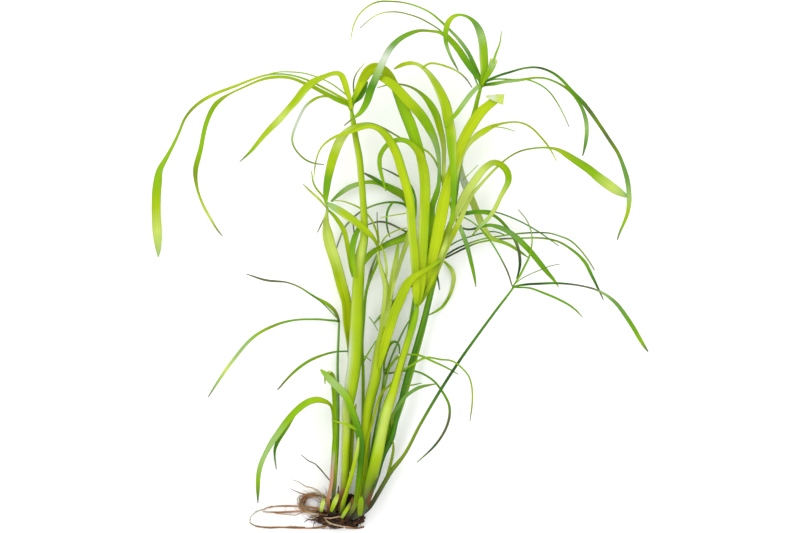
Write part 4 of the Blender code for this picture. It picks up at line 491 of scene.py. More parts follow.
def list_crown():
    """The bright leaves of the middle, those of the top head and what lies over them."""
    leaf("leaf_right_sweep", "culm_bright", -2, 8, 12, "GEPPYPPPLOGLGGPC", [
        (420, 303, 3), (428, 290, 3), (436, 275, 3.4), (441, 262, 5), (446, 249, 5.5), (452, 236, 6),
        (458, 224, 6), (463, 213, 5.2), (468, 201, 5), (473, 193, 4), (480, 185, 3), (490, 174, 2.5),
        (497, 167, 2.2), (505, 160, 1.8), (513, 154.5, 1.7), (522, 150.5, 1.7), (532, 148.5, 1.7),
        (542, 147.5, 1.8), (552, 148, 2.4), (558, 149.5, 3.6), (567, 154.5, 6), (577, 161, 7),
        (587, 167.5, 8), (597, 176, 9.6), (607, 183.5, 10.4), (617, 190.5, 9.2), (626, 195.5, 4.6),
        (629, 197, 1.5)])
    leaf("leaf_right_hairpin", "culm_bright", -1, 9, 23, "LGYYLPPPPLGPPCO", [
        (418.5, 303.5, 3), (426, 294, 3.6), (432, 285, 4), (437, 265, 5), (441, 250, 6), (446, 235, 6),
        (451, 223, 6), (456, 213, 7), (461, 203, 8.5), (466, 193, 8.5), (471, 186, 8), (476, 179, 8),
        (482, 171, 7.5), (488, 165, 6.5), (494, 162, 5.5), (500, 164, 6), (505, 168, 6.5),
        (508.5, 175, 6.5), (508.5, 182, 6), (505, 189, 5), (500, 198, 4), (496, 207, 4), (491, 215, 4),
        (485, 222, 4), (479, 227, 3.5), (471, 237, 1)])
    leaf("leaf_across_left", "culm_dark", 6, 8, 26, "FGDOOLLLOOECLPPLLDDG", [
        (453, 214.5, 2), (448, 198, 2), (442, 182, 2), (438, 168, 2), (433, 158, 2), (426, 151, 2),
        (415, 146, 1.9), (403, 140, 1.8), (393, 134, 1.8), (382, 128, 2), (370, 124, 2.5), (360, 125, 3.2),
        (352, 128.5, 5.5), (345, 134.5, 8), (339, 143, 9.5), (334.5, 154, 9.5), (331, 166, 9),
        (328, 179, 8), (326.5, 190, 7), (325.8, 199, 4.8), (326, 204, 1.8)])
    leaf("leaf_crown_back", "culm_bright", 1, 6, 26, "YYLLLLLYPPLGGOOL", [
        (420, 302.5, 4), (430, 280, 4.5), (438, 245, 5), (443, 220, 5), (445, 200, 4.5), (444, 185, 5),
        (443.5, 170, 4), (443.5, 160, 3.8), (443.5, 150, 4.5), (442, 138, 6), (439.5, 128, 7),
        (436, 115, 7.6), (431, 106, 7), (425, 98, 5), (418, 91.5, 3), (410, 87, 2.2), (400, 84.5, 1.8),
        (390, 84.5, 1.8), (377, 88, 1)])
    leaf("leaf_head_dark", "culm_left", 2, 3, 40, "DFFD", [
        (353, 103, 3.4), (359.5, 97, 7.4), (364, 89, 6.4), (367.5, 82, 2)])
    leaf("leaf_head_dark_fine", "leaf_head_dark", 0, 3, 44, "CEP", [
        (355.6, 100.5, 2), (353.6, 89, 1.7), (354, 80, 1.6), (357, 73, 1.4), (365, 64, 0.9)],
        node="leaf_head_dark")
    leaf("leaf_head_right", "culm_left", 4, 14, 40, "FGYYYYLGGGGGGGL||FGYYYLGDDDDDGGL", [
        (352.5, 102, 4), (357, 93, 6.5), (362, 82, 8.6), (367.5, 72.5, 10), (374, 68, 10), (382, 69.5, 9),
        (389, 75, 8), (394, 84, 8), (399, 96, 10), (404, 110, 11), (409, 122, 12), (414, 135, 11),
        (418, 147, 10), (422, 160, 8), (424, 172, 3)])
    leaf("leaf_crown_arch", "culm_bright", 2, 6, 28, "DDGGGGDDBCCGGLLLY||DDDDDDDDDDGGGLLLL", [
        (419, 302.5, 4), (426, 280, 5), (430, 250, 5.5), (432, 225, 6), (432.5, 205, 6), (436, 195, 6),
        (438.6, 185, 4.4), (439, 175, 3.4), (438.6, 162, 3.6), (437, 150, 5), (434, 140, 6.8),
        (429.6, 130, 9), (424, 120, 10), (416, 110, 10), (408, 102, 10), (400, 93, 10), (392, 85, 9.5),
        (384, 80, 7.5), (376, 77, 3)])
    leaf("leaf_crown_folded", "culm_bright", 3, 4, 38, "GLYYYYYYYYYL|GLLLLLLLYYYL|", [
        (420.5, 302, 4.5), (424, 292, 9), (431, 265, 11.5), (438, 232, 12.5), (443, 205, 12.5),
        (447, 188, 11), (452, 170, 9), (457, 155, 10), (463, 140, 10.5), (469.5, 128, 11), (475, 120, 11),
        (481, 112, 11), (488, 106, 9), (494, 101, 9), (499, 97, 7)])
    leaf("leaf_crown_tall", "culm_bright", 4, 4, 34,
         "LOLOPOGDDGGGLLLLPYL|LOLOPOGDDGGGGLPPLYL|LOLOPOGDDGPPPLLCLYL", [
        (421, 302, 4), (430, 285, 4.2), (440, 258, 4.5), (448, 235, 4.5), (452, 218, 4.7), (453, 205, 5),
        (453.5, 190, 6), (453.5, 175, 6.2), (452.5, 160, 7.5), (451.5, 150, 9), (451, 140, 10.5),
        (450, 130, 10.5), (448, 120, 11), (446, 108, 10.5), (441, 95, 9), (434, 82, 7), (426, 71, 4.5),
        (417, 64.5, 3.2), (408, 63.5, 4.2), (400, 66, 4.2), (394, 69.5, 1.4)])
    leaf("leaf_crown_tall_side", "leaf_crown_tall", 0, 3, 36, "LLLPEE", [
        (423, 68, 2.6), (428, 64, 2.2), (438, 64.5, 2), (448, 67.5, 2), (457, 71.5, 1.8), (465, 78, 1.6),
        (472, 88, 0.9)], node="leaf_crown_tall")
    leaf("leaf_crown_front", "culm_bright", 5, 3, 24,
         "LYYYLLLLLLLLLGGGGGGG|LLLPPPPPLLLLLGGGGGGG|GGLLGGGGLLLLLGGGGGGG", [
        (418, 302.5, 5), (420, 292, 8), (421, 280, 10), (421.5, 260, 11), (423, 240, 11), (424, 220, 11),
        (425, 200, 10.5), (425, 185, 10.5), (423.5, 170, 10.5), (420.5, 158, 9), (415, 149, 6),
        (408, 142.5, 5), (400, 140.5, 5), (391, 143, 5.3), (384, 149, 5), (380, 157, 4.5), (380, 167, 4),
        (382.5, 178, 3), (386, 191, 1.4)])
    leaf("leaf_head_front", "culm_left", 5, 16, 8, "YYYLLLLPLLGE|LLLPLPPPPPGE|", [
        (350.5, 101.5, 4), (346.8, 90, 6), (343.6, 79.5, 6.4), (340, 74.3, 5.2), (334, 74.2, 4.6),
        (325, 77.5, 5), (317, 81, 6.5), (311, 84.5, 7.8), (305, 90, 8), (297.5, 100, 7.5),
        (288.5, 110, 6.5), (279.5, 120, 7), (269.5, 130, 6.2), (260.5, 140, 5), (252, 150, 3.6),
        (239, 162, 0.8)])
    leaf("leaf_crown_left", "culm_bright", 6, 4, 30,
         "GLYLLLLLLYYYYYYLLYYYYLLLOP|GLYPPPPPPLLYYYYLLYYYYLLLOP|GLLLLLLLGGGGGGGGGGGGLLLLOP", [
        (416, 303, 5), (416, 290, 8), (415, 265, 8.5), (414, 250, 9), (412.5, 235, 9), (411.5, 220, 9),
        (410.5, 205, 9.3), (407.5, 190, 9.5), (404, 178, 9.5), (401, 168, 9.5), (397, 155, 9),
        (392, 145, 8.6), (386, 136, 7.5), (378, 129, 6), (370, 126.5, 5), (362, 128.5, 4.5), (355, 131, 4),
        (348, 133.5, 3), (340, 135.5, 3), (333, 138.5, 2.5), (326, 143, 2), (320, 150, 1.7),
        (317, 158, 1.5), (315, 167, 1.4), (314, 178, 0.9)])
    leaf("leaf_middle_bright", "culm_middle", 1, 4, 48, "LLYYLLLLYLG", [
        (378.6, 370, 2.4), (381.6, 358, 6), (384, 347, 8.6), (386.8, 337, 9.4), (390.6, 325, 9.6),
        (395, 311, 10), (400, 300, 10), (404, 290, 10), (409, 281, 8.5), (415, 275.5, 6), (425, 270, 5),
        (433, 265, 4), (441, 260, 2)])
    leaf("leaf_top_right_fine", "culm_tall", 0, 8, 12, "FDGGDOCE", [
        (480.3, 89, 1.6), (485, 82.5, 1.7), (495, 79.5, 1.6), (505, 79.5, 1.6), (515, 80, 1.6),
        (525, 79.5, 1.6), (535, 82.5, 1.6), (545, 88, 1.6), (552, 95, 1.6), (558, 104, 1.5),
        (563, 113, 1.4), (569.5, 127, 0.9)], node="culm_tall")
    leaf("leaf_top_right_inner", "culm_tall", -1, 12, 8, "FDCGGDODBCBE", [
        (484, 85, 3), (495, 84, 4), (505, 82, 3), (515, 81, 3), (525, 79.5, 2.5), (535, 78, 2.1),
        (545, 78.5, 2), (555, 82, 2), (565, 87.5, 2.5), (572, 93, 3), (578, 101, 3), (583, 110, 3.5),
        (586, 120, 4.5), (587, 130, 4.5), (586, 142, 4), (583, 156, 1)])
    leaf("leaf_top_right_long", "culm_tall", 1, 16, 0.3,
         "FFKBKFDFEOEOBBCLGE|FFFBEDDFFFFFBBCLGE|FFFBEDDFFFFFBBCLGE", [
        (483.5, 82.5, 2.4), (490, 79.5, 2.5), (500, 75.5, 2.5), (510, 72.5, 2.2), (520, 69.5, 2.1),
        (528, 68, 2.1), (538, 68, 2.1), (548, 71, 2.5), (558, 77, 3), (566, 85, 3), (574, 94, 3.5),
        (582, 102, 4), (590, 112, 4), (600, 126, 3.6), (610, 141, 3.5), (618, 153, 3.5), (623, 165, 4),
        (627, 178, 5), (629, 190, 5), (629.5, 202, 5), (628, 213, 4), (624, 224, 3), (620, 233, 2),
        (618, 240, 1)])
    leaf("leaf_top_fine", "culm_tall", 0, 4, 20, "GDDOOOOPE", [
        (479.8, 91, 1.6), (470, 68, 1.8), (458, 52, 1.7), (446, 36.5, 1.6), (438, 29, 1.6), (430, 24, 1.6),
        (420, 18.5, 1.6), (410, 15, 1.5), (400, 12.5, 1.5), (390, 12, 1.4), (382, 13, 1.4),
        (374, 16.5, 1.3), (360, 28, 0.9)], node="culm_tall")
    leaf("leaf_top_outer", "culm_tall", 2, 8, 12, "GDBCDGGOOLLP", [
        (481, 81, 3.2), (474, 65, 4), (468, 53, 4), (461, 43, 4), (453, 34, 3.2), (446, 27, 2.6),
        (438, 19.5, 2.2), (430, 13, 1.9), (420, 8, 1.8), (410, 4.5, 1.7), (400, 2.4, 1.7), (390, 1.7, 1.8),
        (380, 1.6, 2), (372, 4, 1.9), (364, 9.5, 1.8), (358, 16, 1.7), (354, 24, 1.5), (350.5, 39.5, 0.9)])
    leaf("leaf_top_long", "culm_tall", 3, 8, 44, "DFDGGODBWCFDGE", [
        (480.5, 81, 4), (472, 70, 6.6), (465, 60, 7), (458, 50, 6.5), (451, 42, 6), (445, 36, 5),
        (440, 33.5, 3.2), (430, 32, 2.4), (420, 31.5, 2.8), (410, 34.5, 4.5), (400, 40, 5.6),
        (392, 47.5, 6.6), (388, 53, 7), (384.5, 60, 7.2), (380, 70, 7.8), (375.5, 80, 8), (371, 90, 8),
        (368, 100, 7.4), (363, 110, 5.6), (359, 115, 4), (353, 119, 2), (344.5, 126, 1)])
    leaf("leaf_top_loop", "culm_tall", 4, 14, 46, "GGGGGCBDGLGDCBE|GGPPCCBDGLGDCBE|", [
        (482.5, 80.5, 4.5), (484, 70, 8), (483.5, 60, 9), (483, 50, 8.6), (481.5, 40, 8.4), (479, 32, 7.6),
        (475, 25, 5.4), (469, 19, 3.2), (463, 16.5, 2.8), (458, 16, 3), (452, 18.5, 4.6), (448, 24, 5.8),
        (446, 31, 5.6), (445.5, 39, 4.6), (447, 48, 3.6), (450, 56, 2.8), (454, 64, 2.2), (458, 71, 1)])
    leaf("leaf_top_stub", "culm_tall", 5, 3, 50, "GGGGCP", [
        (483.5, 81, 3), (486, 78, 5), (489, 72, 6.4), (492, 66, 7.6), (493.5, 60, 8)])
    leaf("leaf_top_stub_fine", "leaf_top_stub", 0, 2, 52, "CGGO", [
        (492.5, 64, 3), (496, 53, 2.2), (499, 46, 1.8), (501, 32, 0.9)], node="leaf_top_stub")
    leaf("leaf_top_down", "culm_tall", 6, 5, 48, "GCCCGGG", [
        (480, 85, 4), (472, 93, 5), (465, 102, 5), (458, 112, 4.5), (451, 120, 4), (444, 128, 1)])


def list_fine():
    """The thinnest leaves, and scraps that the photographed plant has among its culms."""
    fine("fine_head_long", "leaf_head_long", "leaf_head_long", -1, 2, 30, "GLGL", [
        (350, 98, 1.4), (345, 94, 1.4), (340, 90, 1.4), (330, 83, 1.4), (320, 78.5, 1.4), (310, 75, 1.4),
        (300, 73, 1.4), (290, 72.5, 1.4), (280, 72.5, 1.3), (270, 74.5, 1.2), (262, 77.5, 0.8)])
    fine("fine_left_upper", "leaf_left_upper", "leaf_left_upper", 0, 2, 12, "DK", [
        (338, 319, 1.2), (333, 314, 1.2), (327, 307.5, 1.2), (320, 301, 1.1), (312, 295, 0.7)])
    fine("fine_fan_tip", "leaf_fan_upper", "leaf_fan_upper", 0, 2, 24, "LG", [
        (492, 127, 1.2), (500, 127.5, 1.2), (508, 129, 1.1), (515, 131.5, 0.7)])
    fine("fine_crown_twig", "culm_tall", "leaf_crown_folded", 1, 2, 30, "GPC", [
        (463, 180, 0.9), (466, 177, 1), (472, 171, 1), (478, 165, 0.7)])
    fine("fine_shoot_back", "leaf_shoot", "leaf_shoot", 1, 1, 26, "DGLLG", [
        (357.5, 430.5, 2), (353, 427, 3.4), (348, 424.6, 3.2), (343, 423, 2), (337, 421.4, 1.4),
        (331, 419.6, 0.8)])
    fine("fine_stem_between", "culm_thin_back", "culm_thin_back", 1, 0, 14, "GLLLL", [
        (350, 472, 2.4), (350.8, 460, 4), (351.6, 445, 4.4), (352.6, 430, 4.2), (354, 416, 3.4),
        (356, 404, 1.6)])
    fine("fine_side_back", "culm_slanting", "leaf_side_back", 1, 4, 24, "DE", [
        (512, 287, 1), (518, 281, 1), (528, 275, 1), (540, 270, 1), (550, 266, 1), (560, 264, 0.7)])
    fine("fine_left_spur", "leaf_broad_left", "leaf_broad_left", 1, 1, 18, "CPEE", [
        (328, 208, 2), (326, 214, 2), (323, 221, 1.6), (320, 227, 1.3), (317.5, 232.5, 0.8)])
    fine("fine_crown_hook", "leaf_hidden_left", "leaf_hidden_left", 1, 2, 9, "DFE", [
        (393, 202, 2.5), (389, 207, 2.5), (387, 213, 2.3), (386.5, 220, 2.1), (387, 227, 1.9),
        (388.5, 233, 1.7), (390, 237, 1)])
    fine("fine_crown_low", "leaf_crown_left", "leaf_hidden_left", -1, 0, 10, "LLP", [
        (406, 213.5, 1.3), (395, 215, 1.3), (387, 216.5, 1.3), (380, 218, 0.8)])
    fine("fine_crown_stalk", "culm_thin_back", "culm_thin_back", 1, 1, 14, "LE", [
        (379, 243, 1.3), (378.5, 236, 1.3), (377.5, 228, 1.3), (377, 212, 0.9)])
    fine("fine_spike", "culm_thin_back", "culm_left", 1, 1, 20, "EE", [
        (353, 224, 1.3), (354, 231, 1.5), (354.5, 236, 0.8)])
    fine("fine_middle_side", "culm_middle", "culm_middle", 0, 0, 24, "LPL", [
        (385.5, 285, 2), (386.5, 272, 2.5), (386, 262, 2.5), (384.5, 254, 2.2), (381, 245, 1)])
    fine("fine_middle_grey", "culm_thin_back", "culm_thin_back", 1, 0, 12, "CEC", [
        (377, 254, 2), (374, 262, 2.5), (371, 270, 2.5), (369, 278, 2.5), (367, 285, 1.4)])
    fine("fine_back_broad", "culm_short_back", "leaf_back_straight", 1, 1, 14, "DG", [
        (385, 371, 3), (392, 364, 3), (398, 355, 1.4)])
    fine("fine_right_dark", "culm_dark", "culm_dark", -1, 0, 14, "FK", [
        (433, 264, 1.6), (435, 270, 3), (438, 280, 2), (439.5, 290, 1)])
    fine("fine_side_short", "culm_dark", "leaf_dark_side", 1, 0, 20, "OD", [
        (405, 386, 1.2), (409, 385.5, 1.5), (415, 384.5, 1.5), (422, 383, 0.8)])
    fine("fine_middle_cross", "culm_thin_back", "culm_left", 1, 1, 22, "DD", [
        (361, 366, 1.8), (366, 357, 1.8), (370, 350, 1.7), (376, 341, 1)])
    fine("fine_middle_cross_low", "culm_thin_back", "culm_thin_back", 1, 0, 14, "DE", [
        (361, 355, 1), (366, 357, 1.1), (371, 361, 0.8)])
    fine("fine_middle_thin", "culm_thin_back", "culm_thin_back", 1, 0, 14, "GD", [
        (369, 317, 1), (373, 322, 1), (378, 331, 0.8)])
    fine("fine_folded_tip", "leaf_shoot", "leaf_dried_sheath", 0, 0, 20, "POP", [
        (331, 372, 2.4), (327.5, 371.5, 2.4), (325.5, 375, 2.6), (325, 384, 1.2)])
    fine("fine_stub_pale", "shoot_young", "leaf_shoot", 1, 1, 22, "OLPL", [
        (331, 511.5, 3), (333.6, 505, 5), (336.2, 499, 5.2), (338.2, 493.5, 2.4)])
    fine("fine_stub_left", "leaf_dried_sheath", "leaf_dried_sheath", -1, 0, 12, "OPPE", [
        (321, 512, 3), (322, 506, 4.6), (323.5, 500.5, 4.2), (324, 497, 2)])
    fine("fine_stub_low", "shoot_young", "leaf_shoot", 1, 0, 22, "OLLE", [
        (341.5, 518, 3), (345, 512, 4), (348.8, 505.5, 3.6), (351, 501, 1.5)])
    fine("fine_sheath_red", "culm_left", "culm_left", 1, 0, 20, "RNR", [
        (351, 513, 2.4), (351, 507, 3.6), (352, 500, 3), (353, 496, 1)])
    fine("fine_sheath_olive", "culm_bright", "culm_bright", 1, 1, 26, "OOG", [
        (360, 515, 4), (360.5, 508, 6.4), (361, 501, 6.4), (361.5, 496, 3)])
    fine("fine_folded_end", "leaf_crown_folded", "leaf_crown_folded", 1, 0, 40, "PPWP", [
        (503.5, 100, 11), (497, 99, 8.5), (491, 97.5, 5), (486, 97, 2)])
    fine("fine_base_scrap", "culm_slanting", "culm_bright", 1, 0, 30, "XRRKE", [
        (365.5, 511, 3.6), (369, 500, 4), (373, 488, 2.8), (376.8, 479, 2.4), (379, 475.5, 0.8)])
    fine("fine_sheath_left", "culm_left", "culm_left", 1, 0, 20, "XRRN", [
        (341, 515, 5), (342.5, 505, 7), (344, 496, 7.6), (344.8, 488, 5)])
    fine("fine_sheath_thin", "leaf_root_arch", "leaf_root_arch", 1, 0, 18, "XRRE", [
        (337, 507, 3.4), (338, 497, 3.6), (338.6, 486, 1.2)])


def lengths_along(points, spare=0.0):
    """How far along a line on the sheet each of its points is, with a spare length for each step."""
    return np.concatenate([[0.0], np.cumsum(np.hypot(*np.diff(points, axis=0).T) + spare)])


def flow(route):
    """Evenly spaced samples of a smooth line through the route: x, y and width in millimetres."""
    points = np.array(route, dtype=float)
    points[:, 0] -= SHEET_CENTRE[0]
    points[:, 1] = SHEET_CENTRE[1] - points[:, 1]
    knots = lengths_along(points[:, :2])
    slopes = np.gradient(points[:, :2], knots, axis=0)
    at = np.linspace(0.0, knots[-1], SAMPLES_PER_POINT * len(points))
    span = np.clip(np.searchsorted(knots, at, side="right") - 1, 0, len(knots) - 2)
    length = knots[span + 1] - knots[span]
    part = ((at - knots[span]) / length)[:, None]
    length = length[:, None]
    line = ((1 + 2 * part) * (1 - part) ** 2 * points[span, :2]
            + part * (1 - part) ** 2 * length * slopes[span]
            + part ** 2 * (3 - 2 * part) * points[span + 1, :2]
            + part ** 2 * (part - 1) * length * slopes[span + 1])
    run = lengths_along(line)
    even = np.linspace(0.0, run[-1], max(4, round(run[-1] / STEP) + 1))
    return (even, np.interp(even, run, line[:, 0]), np.interp(even, run, line[:, 1]),
            np.interp(even, run, np.interp(at, knots, points[:, 2])))


class Laid:
    """A strand with its samples: place, true width, turn about its length and half height."""

    def __init__(self, strand):
        self.strand = strand
        self.run, self.x, self.y, seen = flow(strand.route)
        self.half_seen = seen / 2
        self.width = seen.copy()
        self.turn = np.zeros_like(seen)
        self.z = None
        if strand.form != "leaf":
            self.half_height = seen / 2
            return
        left = self.run[-1] - self.run
        flat = CROWN_FLAT_START if strand.host == "culm_bright" else 0.0
        ramp = max(FLAT_START, FLAT_SHARE * self.run[-1])
        ends = np.minimum((self.run - flat) / ramp, left / ramp)
        full = seen.max() * np.clip(ends, 0.0, 1.0)
        self.width = np.clip(full, seen, seen / math.cos(math.radians(MOST_TURN)))
        self.turn = np.arccos(np.clip(seen / self.width, 0.0, 1.0))
        thickness = np.minimum(LEAF_THICKNESS, TIP_THICKNESS + THICKENING * left)
        if strand.host and strand.level == 0:
            thickness = np.minimum(thickness, JOINED_THICKNESS + THICKENING * self.run)
        self.half_height = (self.width * np.sin(self.turn) + thickness) / 2
        self.half_seen = self.half_seen + TURNED_MARGIN * np.sin(self.turn)

    def nearest(self, x, y):
        """The sample nearest to a place on the sheet."""
        return int(np.argmin(np.hypot(self.x - x, self.y - y)))


def in_lump(laid):
    """Which samples lie inside the rootstock, where strands may meet."""
    place = (laid.x + SHEET_CENTRE[0], SHEET_CENTRE[1] - laid.y, laid.z)
    reach = sum(((place[k] - LUMP_CENTRE[k]) / LUMP_HALF[k]) ** 2 for k in range(3))
    return reach < LUMP_INSIDE


def wanted_heights(laid, by_name):
    """The heights that a strand would have with nothing under it."""
    strand = laid.strand
    part = laid.run / laid.run[-1]
    if strand.form == "root":
        return laid.half_height + (strand.base - laid.half_height) * np.exp(-laid.run / ROOT_SETTLING)
    if strand.host is None:
        start = strand.base
    else:
        host = by_name[strand.host]
        k = host.nearest(laid.x[0], laid.y[0])
        start = host.z[k]
        if strand.level:
            away = host.half_height[k] + GAP + LEAF_THICKNESS / 2 + (abs(strand.level) - 1) * LEVEL_PITCH
            start += math.copysign(away, strand.level)
    arch = strand.rise * np.sin(math.pi * part ** ARCH_LEAN)
    ease = part if strand.form == "culm" else part ** LEAF_EASE
    return start + (strand.tip - start) * ease + arch


def joint_zone(laid, other):
    """Where two strands meet at a joint: a leaf at its host, or two leaves of one head."""
    mine, theirs = laid.strand, other.strand
    if mine.host == theirs.name:
        reach = JOINED_REACH if mine.level == 0 else HEAD_REACH
        return np.repeat((laid.run < reach)[:, None], len(other.run), axis=1)
    if theirs.host == mine.name:
        reach = JOINED_REACH if theirs.level == 0 else HEAD_REACH
        return np.repeat((other.run < reach)[None, :], len(laid.run), axis=0)
    if mine.host and mine.host == theirs.host:
        reach = JOINED_REACH if mine.level == theirs.level == 0 else HEAD_REACH
        return (laid.run < reach)[:, None] & (other.run < reach)[None, :]
    return np.zeros((len(laid.run), len(other.run)), dtype=bool)


def lay(laid, below):
    """Raises a strand smoothly until it clears the surface and every strand below it."""
    start = laid.z[0]
    least = laid.half_height.copy()
    free = ~in_lump(laid)
    for other in below:
        near = np.hypot(laid.x[:, None] - other.x, laid.y[:, None] - other.y)
        touch = near < laid.half_seen[:, None] + other.half_seen + SIDE_MARGIN
        touch &= free[:, None] & ~in_lump(other)
        touch &= ~joint_zone(laid, other)
        need = np.where(touch, other.z + other.half_height, -1.0).max(axis=1)
        least = np.maximum(least, np.where(need > 0, need + laid.half_height + GAP, 0.0))
    for _ in range(MOST_BUMPS):
        short = least - laid.z
        k = int(np.argmax(short))
        if short[k] < SHORT_ENOUGH:
            break
        laid.z = laid.z + short[k] * np.exp(-((laid.run - laid.run[k]) / BUMP_REACH) ** 2 / 2)
    if laid.strand.host:
        part = np.clip(laid.run / HEAD_REACH, 0.0, 1.0)
        laid.z = start + (laid.z - start) * part ** 2 * (3 - 2 * part)


def lay_all():
    """All the strands with their heights."""
    laid = [Laid(strand) for strand in STRANDS]
    by_name = {one.strand.name: one for one in laid}
    for one in laid:
        one.z = np.full_like(one.run, one.strand.base or FIRST_HEIGHT)
    for _ in range(ROUNDS):
        for k, one in enumerate(laid):
            one.z = wanted_heights(one, by_name)
            lay(one, laid[:k])
    return laid


def lay_fine(laid):
    """Lays the thin strands over those up to the one that each names."""
    order = {one.strand.name: k for k, one in enumerate(laid)}
    by_name = {one.strand.name: one for one in laid}
    done = []
    for over, strand in FINE:
        one = Laid(strand)
        one.z = wanted_heights(one, by_name)
        lay(one, laid[:order[over] + 1])
        done.append(one)
    return done


def lay_plant():
    """Lays every strand once, for all the operators."""
    if LAID:
        return
    list_roots()
    list_hidden_leaves()
    list_left_back()
    list_right_side()
    list_left_front()
    list_crown()
    list_fine()
    LAID.extend(lay_all())
    LAID_FINE.extend(lay_fine(LAID))


def colour_property(name, description, default):
    """A colour setting, in linear red, green and blue."""
    return bpy.props.FloatVectorProperty(name=name, description=description, default=default,
                                         min=0.0, max=1.0, size=3, subtype="COLOR")


class SedgeSettings(bpy.types.PropertyGroup):
    """Sizes and colours of the plant's fine detail. A colour's letter is what the tints name it by."""
    Y: colour_property("Yellow lime", "Culms and leaves that the light shines through",
                       (0.352, 0.462, 0.003))
    L: colour_property("Lime", "Most young leaves", (0.285, 0.402, 0.002))
    G: colour_property("Leaf green", "Shaded parts of the young leaves", (0.194, 0.359, 0.001))
    D: colour_property("Deep green", "Older leaves", (0.120, 0.279, 0.002))
    F: colour_property("Forest green", "Dark leaves and culms", (0.059, 0.194, 0.005))
    K: colour_property("Darkest green", "Shaded leaves behind the others", (0.019, 0.067, 0.005))
    B: colour_property("Blue green", "Leaves with a bloom", (0.120, 0.258, 0.038))
    C: colour_property("Cool pale green", "Sheen on a turned leaf", (0.250, 0.395, 0.105))
    # P is partly the pale undersides and blunt tips, and partly painted sheen where light glances off a
    # leaf.
    P: colour_property("Pale green", "Light undersides and blunt tips", (0.420, 0.525, 0.090))
    # W is painted sheen: the whitish glint on the palest turns of a leaf, and on roots.
    W: colour_property("Whitish green", "The palest turns of a leaf", (0.503, 0.558, 0.452))
    O: colour_property("Olive", "Shaded stem bases", (0.152, 0.226, 0.004))
    E: colour_property("Dry olive", "Withered tips", (0.094, 0.104, 0.033))
    T: colour_property("Pinkish tan", "The dried sheath", (0.590, 0.330, 0.205))
    N: colour_property("Tan", "Roots and old sheaths", (0.298, 0.139, 0.045))
    R: colour_property("Root brown", "Old roots", (0.116, 0.045, 0.016))
    H: colour_property("Pale root", "Young roots and root skin", (0.477, 0.404, 0.279))
    X: colour_property("Soil", "Damp soil in the rootstock", (0.010, 0.006, 0.003))
    station: bpy.props.FloatProperty(
        name="Station", description="Distance between sections of a fine strand",
        default=0.0018, min=0.0005, unit="LENGTH")
    ripple: bpy.props.FloatProperty(
        name="Ripple", description="How much a blade's width wavers",
        default=0.03, min=0.0, max=0.2, subtype="FACTOR")
    vein_pitch: bpy.props.FloatProperty(
        name="Vein pitch", description="Distance between veins across a blade",
        default=0.0009, min=0.0002, unit="LENGTH")
    root_hairs: bpy.props.IntProperty(
        name="Root hairs", description="How many fine roots", default=150, min=0)
    crumbs: bpy.props.IntProperty(
        name="Soil crumbs", description="How many crumbs of soil", default=190, min=0)
    soiled_length: bpy.props.FloatProperty(
        name="Soiled length", description="How far soil reaches up a base",
        default=0.013, min=0.0, unit="LENGTH")
    light: bpy.props.FloatProperty(
        name="Light", description="Strength of the surroundings", default=1.2, min=0.0)


def tint_along(letters, settings, parts):
    """The colour at each part of a strand's length, blended between the palette letters."""
    colours = np.array([getattr(settings, letter) for letter in letters])
    knots = np.linspace(0.0, 1.0, len(colours))
    return np.stack([np.interp(parts, knots, colours[:, k]) for k in range(3)], axis=1)


def section_frames(line, radius, turn):
    """The matrix of each section of a strand: x across it, y out of its face and z along it."""
    frames = []
    for place, along, half, angle in zip(line, np.gradient(line, axis=0), radius, turn):
        forward = Vector(along).normalized()
        side = forward.cross(Vector((0.0, 0.0, 1.0)))
        if side.length < NEARLY_UPRIGHT:
            side = Vector((1.0, 0.0, 0.0))
        side = Matrix.Rotation(angle, 3, forward) @ side.normalized()
        face = side.cross(forward)
        matrix = Matrix((side * half, face * half, forward * MM)).transposed().to_4x4()
        matrix.translation = Vector(place)
        frames.append(matrix)
    return frames


def put_in_order(mesh):
    """Sorts a strand's faces along it, because extruding gives them in another order each run."""
    mesh.verts.index_update()
    count = len(mesh.verts)

    def place(face):
        around = [vert.index for vert in face.verts]
        return min(around) * count + max(around)

    mesh.faces.sort(key=place)


